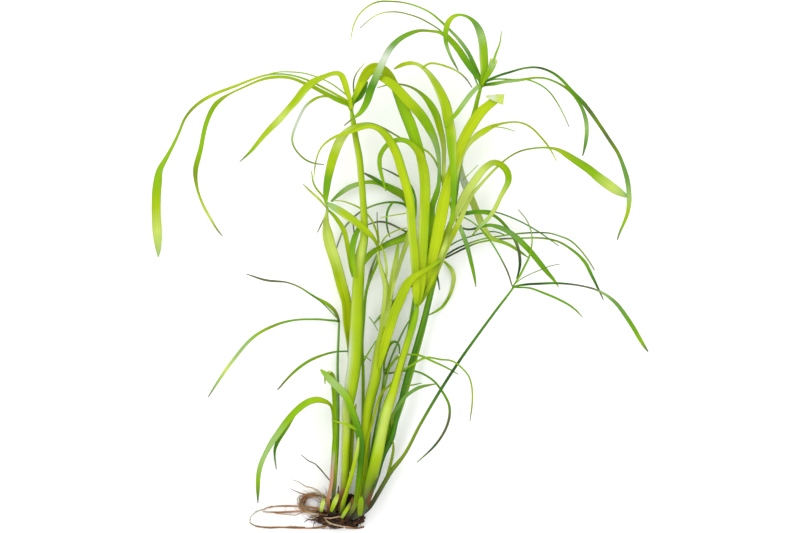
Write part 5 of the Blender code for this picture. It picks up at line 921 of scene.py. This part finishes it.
class Sweep:
    """One mesh that collects strands, each a closed section drawn along its line."""

    def __init__(self, settings):
        self.settings = settings
        self.mesh = bmesh.new()
        self.tint = self.mesh.verts.layers.float_color.new("tint")
        self.grain = self.mesh.verts.layers.float_vector.new("grain")

    def section(self, mesh, form, matrix, grain):
        """The first ring. Its verts hold how far across the strand they are."""
        count = {"leaf": BLADE_POINTS, "culm": CULM_POINTS}.get(form, ROOT_POINTS)
        ring = bmesh.ops.create_circle(mesh, segments=count, radius=1.0, cap_ends=False)["verts"]
        for vert in ring:
            across, up = vert.co.x, vert.co.y
            if form == "leaf":
                vert.co.x = math.copysign(abs(across) ** BLADE_POINTEDNESS, across)
                side = max(-1.0, min(1.0, up * BLADE_FLATNESS))
                vert.co.y = BLADE_HALF_THICKNESS * side + KEEL * (abs(vert.co.x) - 0.5)
            vert[grain] = (vert.co.x, 0.0, 0.0)
        bmesh.ops.transform(mesh, matrix=matrix, verts=ring)
        return ring

    def tints(self, letters, edges, run, soiled):
        """The colours along a strand of its middle and its two edges, soiled near its start. The edge
        colours are partly painted light, one side lit or with sheen and the other side shaded.
        """
        parts = run / run[-1]
        dirt = np.clip((soiled - run) / max(soiled, MM), 0.0, 1.0)[:, None]
        soil = np.array(self.settings.X) * dirt
        return [tint_along(tint or letters, self.settings, parts) * (1 - dirt) + soil
                for tint in (letters, *edges)]

    def strand(self, form, line, radius, turn, letters, edges=("", ""), soiled=0.0):
        """Adds a strand: line, radius and soiled start in metres, turn in radians, tints as letters."""
        run = np.concatenate([[0.0], np.cumsum(np.linalg.norm(np.diff(line, axis=0), axis=1))])
        middle, *edge_colour_and_side_light = self.tints(letters, edges, run, soiled)
        frames = section_frames(line, radius, turn)
        mesh = bmesh.new()
        tint = mesh.verts.layers.float_color.new("tint")
        grain = mesh.verts.layers.float_vector.new("grain")
        ring = self.section(mesh, form, frames[0], grain)
        first_end = last_end = list(dict.fromkeys(edge for vert in ring for edge in vert.link_edges))
        for k, matrix in enumerate(frames):
            if k:
                grown = bmesh.ops.extrude_edge_only(mesh, edges=last_end)["geom"]
                ring = [part for part in grown if isinstance(part, bmesh.types.BMVert)]
                inside = set(ring)
                last_end = [part for part in grown if isinstance(part, bmesh.types.BMEdge)
                            and part.verts[0] in inside and part.verts[1] in inside]
                bmesh.ops.transform(mesh, matrix=matrix @ frames[k - 1].inverted(), verts=ring)
            for vert in ring:
                # Towards the rims the edge tint blends in: partly the edge's own colour, partly painted
                # light and shade on the two sides.
                across = vert[grain].x
                share = across ** 2
                edge = edge_colour_and_side_light[1 if across > 0 else 0][k]
                vert[tint] = (*(middle[k] * (1 - share) + edge * share), 1.0)
                vert[grain] = (across, run[k], radius[k])
        bmesh.ops.contextual_create(mesh, geom=first_end)
        bmesh.ops.contextual_create(mesh, geom=last_end)
        put_in_order(mesh)
        data = bpy.data.meshes.new("strand")
        mesh.to_mesh(data)
        mesh.free()
        self.mesh.from_mesh(data)
        bpy.data.meshes.remove(data)

    def piece(self, name, material, node=None):
        """Finishes the mesh and makes it a piece of the plant."""
        bmesh.ops.recalc_face_normals(self.mesh, faces=self.mesh.faces[:])
        data = bpy.data.meshes.new(name)
        self.mesh.to_mesh(data)
        self.mesh.free()
        data.materials.append(material)
        data.shade_smooth()
        piece = bpy.data.objects.new(name, data)
        bpy.context.scene.collection.objects.link(piece)
        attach(piece, "root")
        if node:
            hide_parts(node)
        return piece


def smooth(values):
    """Evens out a row of values, apart from its ends."""
    values[1:-1] = (values[:-2] + 2 * values[1:-1] + values[2:]) / 4


def fine_line(laid, settings):
    """The strand's line, half width and turn at close stations. A leaf starts at the heart of its culm."""
    knots = laid.run
    read = [laid.x, laid.y, laid.z, laid.width, laid.turn]
    host = next((one for one in LAID if one.strand.name == laid.strand.host), None)
    if host and host.strand.form == "culm" and laid in LAID:
        k = host.nearest(laid.x[0], laid.y[0])
        away = math.hypot(host.x[k] - laid.x[0], host.y[k] - laid.y[0])
        if away > HEART_REACH:
            heart = (host.x[k], host.y[k], (host.z[k] + laid.z[0]) / 2, laid.width[0], laid.turn[0])
            knots = np.concatenate([[0.0], knots + away])
            read = [np.concatenate([[first], values]) for first, values in zip(heart, read)]
    count = max(5, round(knots[-1] * MM / settings.station) + 1)
    at = np.linspace(0.0, knots[-1], count)
    x, y, z, width, turn = [np.interp(at, knots, values) for values in read]
    for values in (x, y, z):
        for _ in range(LINE_SMOOTHINGS):
            smooth(values)
    if laid.strand.form == "leaf":
        seed = sum(map(ord, laid.strand.name)) * SEED_SCALE
        waver = np.array([noise.noise((seed, run * WAVER_PITCH, 0.0)) for run in at])
        sway = np.array([noise.noise((seed, SWAY_ROW, run * SWAY_PITCH)) for run in at])
        width = width * (1 + settings.ripple * waver)
        turn = turn + SWAY * sway
    return np.stack([x, y, z], axis=1) * MM, width / 2 * MM, turn


def add_laid(sweep, laid, settings, soiled=0.0):
    """Adds a laid strand to a sweep. Its tint has letters for the middle, and maybe for the two edges,
    which partly paint one side lit or with sheen and the other side shaded.
    """
    letters, *edges = (laid.strand.tint.split("|") + ["", ""])[:3]
    line, radius, turn = fine_line(laid, settings)
    sweep.strand(laid.strand.form, line, radius, turn, letters, edges, soiled)


class Graph:
    """Adds nodes to a material or a group, and links them."""

    def __init__(self, tree):
        self.tree = tree

    def node(self, kind, links=None, **settings):
        """A node with its settings. Each input takes a value or another node's output."""
        made = self.tree.nodes.new(kind)
        for key, value in settings.items():
            setattr(made, key, value)
        for socket, source in (links or {}).items():
            if isinstance(source, bpy.types.NodeSocket):
                self.tree.links.new(source, made.inputs[socket])
            else:
                made.inputs[socket].default_value = source
        return made

    def math(self, operation, *values):
        """An operation on one to three values."""
        return self.node("ShaderNodeMath", dict(enumerate(values)), operation=operation).outputs[0]

    def ramp(self, value, low, high):
        """0 below low, 1 above high, smooth between."""
        return self.node("ShaderNodeMapRange", {"Value": value, "From Min": low, "From Max": high},
                         interpolation_type="SMOOTHSTEP").outputs[0]

    def noise(self, vector, scale, detail=3.0):
        """A soft random value at each place."""
        links = {"Vector": vector, "Scale": scale, "Detail": detail}
        return self.node("ShaderNodeTexNoise", links).outputs["Fac"]


def new_group(name, inputs, outputs):
    """An empty node group with its sockets, and the graph and sockets inside it."""
    group = bpy.data.node_groups.new(name, "ShaderNodeTree")
    for label, default in inputs:
        socket = group.interface.new_socket(label, in_out="INPUT", socket_type="NodeSocketFloat")
        socket.default_value = default
    for label, kind in outputs:
        group.interface.new_socket(label, in_out="OUTPUT", socket_type=kind)
    graph = Graph(group)
    return group, graph, graph.node("NodeGroupInput"), graph.node("NodeGroupOutput")


def strand_grain_group():
    """Colour, roughness and height of a strand: its tint, veins, midrib, streaks and blotches."""
    name = "strand_grain"
    if name in bpy.data.node_groups:
        return bpy.data.node_groups[name]
    group, graph, given, out = new_group(
        name,
        [("Vein Pitch", 0.0009), ("Vein Depth", 0.12), ("Midrib", 0.1), ("Edge Shade", 0.15),
         ("Streaks", 0.25), ("Blotches", 0.2)],
        [("Color", "NodeSocketColor"), ("Roughness", "NodeSocketFloat"), ("Height", "NodeSocketFloat")])
    tint = graph.node("ShaderNodeAttribute", attribute_name="tint")
    grain = graph.node("ShaderNodeAttribute", attribute_name="grain")
    across, along, half = graph.node("ShaderNodeSeparateXYZ", {0: grain.outputs["Vector"]}).outputs
    place = graph.math("MULTIPLY", across, half)
    phase = graph.math("DIVIDE", place, given.outputs["Vein Pitch"])
    veins = graph.math("SINE", graph.math("MULTIPLY", phase, math.tau))
    stretched = graph.node("ShaderNodeCombineXYZ", {
        0: graph.math("MULTIPLY", place, STREAKS_ACROSS), 1: graph.math("MULTIPLY", along, STREAKS_ALONG)})
    streaks = graph.noise(stretched.outputs[0], 1.0)
    spot = graph.node("ShaderNodeTexCoord").outputs["Object"]
    blotches = graph.noise(spot, BLOTCH_SCALE, BLOTCH_DETAIL)
    size = graph.math("ABSOLUTE", across)
    midrib = graph.math("SUBTRACT", 1.0, graph.ramp(size, *MIDRIB_EDGE))
    rim = graph.ramp(size, *RIM_EDGE)
    tone = graph.math("MULTIPLY_ADD", veins,
                      graph.math("MULTIPLY", given.outputs["Vein Depth"], VEIN_SHADE), 1.0)
    for mottle, label in ((streaks, "Streaks"), (blotches, "Blotches")):
        tone = graph.math("MULTIPLY_ADD", graph.math("SUBTRACT", mottle, 0.5), given.outputs[label], tone)
    tone = graph.math("MULTIPLY_ADD", midrib, given.outputs["Midrib"], tone)
    tone = graph.math("SUBTRACT", tone, graph.math("MULTIPLY", rim, given.outputs["Edge Shade"]))
    colour = graph.node("ShaderNodeVectorMath", {0: tint.outputs["Color"], "Scale": tone},
                        operation="SCALE").outputs[0]
    rough = graph.math("MULTIPLY_ADD", streaks, STREAK_ROUGHNESS, LEAST_ROUGHNESS)
    height = graph.math("MULTIPLY_ADD", veins, given.outputs["Vein Depth"], streaks)
    height = graph.math("SUBTRACT", height, midrib)
    for label, value in (("Color", colour), ("Roughness", rough), ("Height", height)):
        graph.tree.links.new(value, out.inputs[label])
    return group


def strand_material(name, bump, coat, **grain):
    """A material for strands: the shared grain with this finish's own values."""
    if name in bpy.data.materials:
        return bpy.data.materials[name]
    material = bpy.data.materials.new(name)
    material.use_nodes = True
    graph = Graph(material.node_tree)
    shader = material.node_tree.nodes["Principled BSDF"]
    made = graph.node("ShaderNodeGroup", node_tree=strand_grain_group())
    for key, value in grain.items():
        made.inputs[key.replace("_", " ").title()].default_value = value
    lift = graph.node("ShaderNodeBump", {"Height": made.outputs["Height"], "Strength": bump,
                                         "Distance": BUMP_DISTANCE})
    graph.tree.links.new(made.outputs["Color"], shader.inputs["Base Color"])
    graph.tree.links.new(made.outputs["Roughness"], shader.inputs["Roughness"])
    graph.tree.links.new(lift.outputs["Normal"], shader.inputs["Normal"])
    shader.inputs["Specular IOR Level"].default_value = SPECULAR
    shader.inputs["Coat Weight"].default_value = coat
    shader.inputs["Coat Roughness"].default_value = COAT_ROUGHNESS
    return material


def blade_material(settings):
    """Fresh leaf, with a midrib."""
    return strand_material("leaf_blade", 0.45, 0.02, vein_pitch=settings.vein_pitch)


def culm_material(settings):
    """Round stem, streaked along its length."""
    return strand_material("culm_skin", 0.35, 0.03, vein_pitch=settings.vein_pitch, midrib=0.0,
                           edge_shade=0.22, streaks=0.35, blotches=0.25)


def sheath_material():
    """Dry sheath, with deep veins."""
    return strand_material("sheath_blade", 0.7, 0.0, vein_pitch=0.0007, vein_depth=0.25, midrib=0.0,
                           edge_shade=0.2, streaks=0.6, blotches=0.5)


def root_material():
    """Rough root skin and soil."""
    return strand_material("root_bark", 0.9, 0.0, vein_pitch=0.0006, vein_depth=0.2, midrib=0.0,
                           edge_shade=0.1, streaks=0.7, blotches=0.9)


def make_nodes(settings, form):
    """Makes one fine piece for each node whose main strand has this form."""
    lay_plant()
    groups = {}
    for one in LAID:
        groups.setdefault(one.strand.node, []).append(one)
    for node, members in groups.items():
        if not any(one.strand.name == node and one.strand.form == form for one in members):
            continue
        material = culm_material(settings) if form == "culm" else blade_material(settings)
        if node == "leaf_dried_sheath":
            material = sheath_material()
        sweep = Sweep(settings)
        for one in members:
            add_laid(sweep, one, settings, 0.0 if one.strand.host else settings.soiled_length)
        sweep.piece("fine_" + node, material, node)


class SEDGE_OT_culms(bpy.types.Operator):
    """Makes the round culms, with the fine branches that grow from them"""
    bl_idname = "sedge.culms"
    bl_label = "Culms"

    def execute(self, context):
        make_nodes(context.scene.sedge, "culm")
        return {"FINISHED"}


class SEDGE_OT_leaves(bpy.types.Operator):
    """Makes the keeled leaf blades"""
    bl_idname = "sedge.leaves"
    bl_label = "Leaves"

    def execute(self, context):
        make_nodes(context.scene.sedge, "leaf")
        return {"FINISHED"}


class SEDGE_OT_fine_leaves(bpy.types.Operator):
    """Makes the leaves and scraps that are too thin for a solid"""
    bl_idname = "sedge.fine_leaves"
    bl_label = "Finest Leaves"

    def execute(self, context):
        settings = context.scene.sedge
        lay_plant()
        sweep = Sweep(settings)
        for one in LAID_FINE:
            add_laid(sweep, one, settings)
        sweep.piece("finest_leaves", blade_material(settings))
        return {"FINISHED"}


def on_sheet(x, y, z):
    """A place in metres from sheet millimetres and a height in millimetres."""
    return ((x - SHEET_CENTRE[0]) * MM, (SHEET_CENTRE[1] - y) * MM, z * MM)


# Fine roots that the photographed plant has: tints, and points with x, y, height and radius
FINE_ROOTS = [
    ("HNR", [(327, 507, 12, .8), (318, 498, 15, .7), (309, 495.5, 13, .6), (300, 493.5, 10, .6),
             (295, 491.5, 8, .5), (290, 489, 6, .3)]),
    ("NHN", [(330, 504, 12, .8), (318, 491, 14, .8), (312, 488, 13, .7), (306, 487, 12, .7),
             (298, 482, 11, .5), (292, 480, 10, .3)]),
    ("RXR", [(331, 482, 16, .7), (325, 475, 15, .7), (320, 469, 14, .7), (315, 464, 13, .6),
             (308, 461, 12, .6), (301, 455, 11, .4)]),
    ("XRX", [(330, 521, 6, 1.0), (322, 519, 6, .9), (314, 521, 5, .8), (308, 520, 4, .6),
             (304, 523, 4, .4)]),
    ("XR", [(322, 519, 6, .6), (315, 517.5, 5, .5), (309, 518, 4, .3)]),
    ("NHN", [(305, 512, 4, .6), (295, 516, 3, .6), (285, 515, 3, .5), (275, 514, 2, .4)]),
    ("HTH", [(323.5, 518, 13, .4), (330, 518.6, 14.5, .8), (338, 517, 14.5, .7), (343, 516.3, 14, .3)]),
    ("NHHTNR", [(324.5, 518.5, 12, .6), (326.5, 521, 13, 1.1), (329, 523.3, 12.5, 1.1), (334, 525, 11, .9),
                (343, 526.8, 9.5, .8), (352, 528, 7.5, .8), (358.5, 529, 3, .5)]),
    ("NH", [(272, 507.3, 2, .9), (266, 508.6, 1.6, .8), (262, 511, 1.3, .7)]),
    ("NRN", [(330, 522, 8, 1.0), (340, 526, 9, 1.2), (350, 528, 7, 1.1), (358, 529, 4, .8),
             (364, 528, 2, .5)]),
    ("RXR", [(331, 526, 3, .6), (333, 529, 2, .6), (338, 529.3, 2, .6), (341, 527, 3, .6)]),
    ("RNR", [(249, 523.5, 1, .5), (256, 527.5, 1.4, .5), (270, 529, 1.5, .5), (290, 527.5, 1.6, .6),
             (305, 528, 2, .5)]),
    ("HN", [(304, 508, 3, .8), (300, 503, 4, .8), (299, 498, 5, .7), (304, 494.5, 6, .5)]),
    ("HW", [(303, 510, 3, .6), (297.5, 505, 4, .6), (297, 499, 5, .6), (300, 495, 6, .4)]),
]


def wander(rng, start, heading, length, radius):
    """A root hair: points and radii in sheet millimetres, turning and sinking as it goes."""
    x, y, z = start
    points = []
    steps = max(4, round(length / HAIR_STEP))
    sink = (z - radius) / steps
    for k in range(steps + 1):
        points.append((x, min(y, SHEET_FOOT), max(z, radius), radius * (1.0 - HAIR_TAPER * k / steps)))
        heading += rng.gauss(0.0, HAIR_BEND)
        x += math.cos(heading) * HAIR_STEP
        y -= math.sin(heading) * HAIR_STEP
        z -= sink * rng.uniform(*HAIR_SINKS)
    return points


def root_strand(sweep, letters, points):
    """Adds a root from its points: sheet x and y, height and radius in millimetres."""
    table = np.array(points, dtype=float)
    knots = lengths_along(table[:, :2], KNOT_SPARE)
    count = max(6, round(knots[-1] / ROOT_STATION) + 1)
    at = np.linspace(0.0, knots[-1], count)
    x, y, z, radius = [np.interp(at, knots, column) for column in table.T]
    for values in (x, y, z):
        smooth(values)
    line = np.array([on_sheet(*place) for place in zip(x, y, np.maximum(z, radius))])
    sweep.strand("root", line, radius * MM, np.zeros(count), letters)


def crown_lump(sweep, letters, centre, half):
    """Adds a rough dark lump, from sheet millimetres."""
    for vert in bmesh.ops.create_icosphere(sweep.mesh, subdivisions=5, radius=1.0)["verts"]:
        at = vert.co.copy()
        rough = 1.0
        for fineness, share in CROWN_ROUGHNESS:
            rough += share * noise.noise(at * fineness)
        shade = CROWN_SHADE[0] + CROWN_SHADE[1] * noise.noise(at * CROWN_MOTTLE)
        tint = tint_along(letters, sweep.settings, np.array([min(1.0, max(0.0, shade))]))[0]
        vert.co = Vector(on_sheet(centre[0] + at.x * half[0] * rough, centre[1] - at.y * half[1] * rough,
                                  max(0.0, centre[2] + at.z * half[2] * rough)))
        vert[sweep.tint] = (*tint, 1.0)
        vert[sweep.grain] = (at.x * CROWN_GRAIN[0], at.y * CROWN_GRAIN[1], CROWN_GRAIN[2])


def crown_hairs(sweep, rng, count):
    """Root hairs all round the crown, longer on the left, where they trail out."""
    for _ in range(count):
        turn = rng.uniform(0.0, math.tau)
        reach = rng.uniform(*HAIR_REACHES)
        start = (HAIR_CENTRE[0] + HAIR_SPREAD[0] * reach * math.cos(turn),
                 HAIR_CENTRE[1] - HAIR_SPREAD[1] * reach * math.sin(turn), rng.uniform(*HAIR_HEIGHTS))
        heading = math.atan2(math.sin(turn) * HAIR_FLATTENING, math.cos(turn))
        heading += rng.gauss(0.0, HAIR_SCATTER)
        left = math.cos(turn) < TRAILING_SIDE
        length = rng.uniform(HAIR_LEAST, HAIR_MOST_LEFT if left else HAIR_MOST_RIGHT)
        letters = rng.choice(HAIR_TINTS)
        root_strand(sweep, letters, wander(rng, start, heading, length, rng.uniform(*HAIR_RADII)))


def side_hairs(sweep, rng):
    """Short hairs along the long roots and round the ring of roots."""
    for one in LAID:
        if one.strand.form != "root":
            continue
        ring = one.strand.name == "root_ring"
        for k in range(3, len(one.run) - 1):
            for _ in range(2 if ring else 1):
                if rng.random() < SIDE_GAPS and not ring:
                    continue
                x, y = one.x[k] + SHEET_CENTRE[0], SHEET_CENTRE[1] - one.y[k]
                ahead = math.atan2(one.y[k + 1] - one.y[k - 1], one.x[k + 1] - one.x[k - 1])
                heading = ahead + rng.choice([-1, 1]) * rng.uniform(*SIDE_ANGLES)
                if ring:
                    heading = ahead + rng.gauss(0.0, HAIR_SCATTER)
                length = rng.uniform(*(RING_SIDE_LENGTHS if ring else SIDE_LENGTHS))
                letters = rng.choice(SIDE_TINTS)
                start = (x + rng.gauss(0.0, SIDE_SCATTER), y + rng.gauss(0.0, SIDE_SCATTER), one.z[k])
                root_strand(sweep, letters, wander(rng, start, heading, length, rng.uniform(*SIDE_RADII)))


def ring_fibres(sweep, rng):
    """Pale fibres that curl round the ring of roots."""
    for _ in range(RING_FIBRES):
        wide, tall = rng.uniform(*RING_WIDTHS), rng.uniform(*RING_HEIGHTS)
        start, span = rng.uniform(*RING_STARTS), rng.uniform(*RING_SPANS)
        height, radius = rng.uniform(*RING_LEVELS), rng.uniform(*RING_RADII)
        turns = [start + span * k / (RING_POINTS - 1) for k in range(RING_POINTS)]
        points = [(RING_CENTRE[0] + (wide + RING_WAVER[0] * math.sin(3 * turn + wide)) * math.cos(turn),
                   RING_CENTRE[1] - (tall + RING_WAVER[1] * math.cos(4 * turn + tall)) * math.sin(turn),
                   height, radius)
                  for turn in turns]
        root_strand(sweep, rng.choice(RING_TINTS), points)


class SEDGE_OT_rootstock(bpy.types.Operator):
    """Makes the rootstock's dark core, its roots and its fine root hairs"""
    bl_idname = "sedge.rootstock"
    bl_label = "Rootstock"

    def execute(self, context):
        settings = context.scene.sedge
        lay_plant()
        rng = random.Random(ROOT_SEED)
        sweep = Sweep(settings)
        for letters, centre, half in CROWN_LUMPS:
            crown_lump(sweep, letters, centre, half)
        for one in LAID:
            if one.strand.form == "root":
                add_laid(sweep, one, settings)
        for letters, points in FINE_ROOTS:
            root_strand(sweep, letters, points)
        crown_hairs(sweep, rng, settings.root_hairs)
        side_hairs(sweep, rng)
        ring_fibres(sweep, rng)
        sweep.piece("fine_rootstock", root_material(), "rootstock")
        return {"FINISHED"}


class SEDGE_OT_soil(bpy.types.Operator):
    """Makes the crumbs of damp soil that cling to the rootstock"""
    bl_idname = "sedge.soil"
    bl_label = "Soil Crumbs"

    def execute(self, context):
        settings = context.scene.sedge
        rng = random.Random(SOIL_SEED)
        sweep = Sweep(settings)
        for _ in range(settings.crumbs):
            turn = rng.uniform(0.0, math.tau)
            reach = rng.uniform(*CRUMB_REACHES) ** 0.5
            radius = rng.uniform(*CRUMB_RADII)
            x = SOIL_CENTRE[0] + SOIL_HALF[0] * reach * math.cos(turn) + rng.gauss(0.0, SOIL_SCATTER[0])
            y = SOIL_CENTRE[1] - SOIL_HALF[1] * reach * math.sin(turn) + rng.gauss(0.0, SOIL_SCATTER[1])
            dome = math.sqrt(max(0.0, 1.0 - reach ** 2))
            z = radius + (SOIL_TOP - radius) * dome * rng.uniform(*CRUMB_LIFTS)
            place = Vector(on_sheet(x, min(SOIL_FOOT, y), z))
            crumb = bmesh.ops.create_icosphere(sweep.mesh, subdivisions=2, radius=1.0)["verts"]
            seed = Vector((rng.uniform(0.0, CRUMB_SEEDS), 0.0, 0.0))
            tint = tint_along("XXR", settings, np.array([rng.random() ** 2]))[0]
            for vert in crumb:
                rough = 1.0 + CRUMB_ROUGHNESS * noise.noise(vert.co * CRUMB_FINENESS + seed)
                vert[sweep.grain] = (vert.co.x * CRUMB_GRAIN[0], vert.co.y * CRUMB_GRAIN[1], CRUMB_GRAIN[2])
                vert[sweep.tint] = (*tint, 1.0)
                vert.co = place + Vector(vert.co) * radius * rough * MM
                vert.co.z = max(vert.co.z, 0.0)
        sweep.piece("soil_crumbs", root_material())
        return {"FINISHED"}


def floor_material():
    """Pale matt paper, very faintly mottled."""
    paper = bpy.data.materials.new("pale_floor")
    paper.use_nodes = True
    graph = Graph(paper.node_tree)
    spot = graph.node("ShaderNodeTexCoord").outputs["Object"]
    shade = graph.node("ShaderNodeMix", {"Factor": graph.noise(spot, FLOOR_MOTTLE), "A": FLOOR_SHADES[0],
                                         "B": FLOOR_SHADES[1]}, data_type="RGBA")
    shader = paper.node_tree.nodes["Principled BSDF"]
    paper.node_tree.links.new(shade.outputs["Result"], shader.inputs["Base Color"])
    shader.inputs["Roughness"].default_value = FLOOR_ROUGHNESS
    shader.inputs["Specular IOR Level"].default_value = SPECULAR
    return paper


class SEDGE_OT_stage(bpy.types.Operator):
    """Makes the pale floor, the soft lights and the camera that looks down on the plant"""
    bl_idname = "sedge.stage"
    bl_label = "Stage"

    def execute(self, context):
        scene = context.scene
        mesh = bmesh.new()
        bmesh.ops.create_grid(mesh, x_segments=8, y_segments=8, size=FLOOR_HALF)
        data = bpy.data.meshes.new("floor")
        mesh.to_mesh(data)
        mesh.free()
        data.materials.append(floor_material())
        floor = bpy.data.objects.new("floor", data)
        scene.collection.objects.link(floor)

        world = bpy.data.worlds.new("studio")
        world.use_nodes = True
        sky = world.node_tree.nodes["Background"]
        sky.inputs["Color"].default_value = (1.0, 1.0, 1.0, 1.0)
        sky.inputs["Strength"].default_value = scene.sedge.light
        scene.world = world
        for name, place, size, energy in LAMPS:
            lamp = bpy.data.lights.new(name, "AREA")
            lamp.size = size
            lamp.energy = energy
            holder = bpy.data.objects.new(name, lamp)
            holder.location = place
            holder.rotation_euler = (-Vector(place)).to_track_quat("-Z", "Y").to_euler()
            scene.collection.objects.link(holder)

        lens = bpy.data.cameras.new("camera")
        lens.lens = LENS
        lens.sensor_width = SENSOR_WIDTH
        lens.clip_end = VIEW_DEPTH
        camera = bpy.data.objects.new("camera", lens)
        middle = on_sheet(*VIEW_MIDDLE)
        camera.location = (middle[0], middle[1], middle[2] + VIEW_WIDTH * LENS / SENSOR_WIDTH)
        scene.collection.objects.link(camera)
        scene.camera = camera
        scene.view_settings.view_transform = "Standard"
        return {"FINISHED"}


class SEDGE_PT_panel(bpy.types.Panel):
    """Lists the plant's pieces and settings"""
    bl_idname = "SEDGE_PT_panel"
    bl_label = "Umbrella Sedge"
    bl_space_type = "VIEW_3D"
    bl_region_type = "UI"
    bl_category = "Sedge"

    def draw(self, context):
        layout = self.layout
        for made in PIECES:
            layout.operator(made.bl_idname)
        for key in SedgeSettings.__annotations__:
            layout.prop(context.scene.sedge, key)


PIECES = (SEDGE_OT_culms, SEDGE_OT_leaves, SEDGE_OT_fine_leaves, SEDGE_OT_rootstock, SEDGE_OT_soil,
          SEDGE_OT_stage)


def register():
    """Adds the settings, the operators and the panel."""
    for made in (SedgeSettings, *PIECES, SEDGE_PT_panel):
        bpy.utils.register_class(made)
    bpy.types.Scene.sedge = bpy.props.PointerProperty(type=SedgeSettings)


def unregister():
    """Removes them again."""
    del bpy.types.Scene.sedge
    for made in reversed((SedgeSettings, *PIECES, SEDGE_PT_panel)):
        bpy.utils.unregister_class(made)


def main():
    """Makes the whole plant and its stage."""
    register()
    bpy.ops.sedge.culms()
    bpy.ops.sedge.leaves()
    bpy.ops.sedge.fine_leaves()
    bpy.ops.sedge.rootstock()
    bpy.ops.sedge.soil()
    bpy.ops.sedge.stage()


if __name__ == "__main__":
    main()
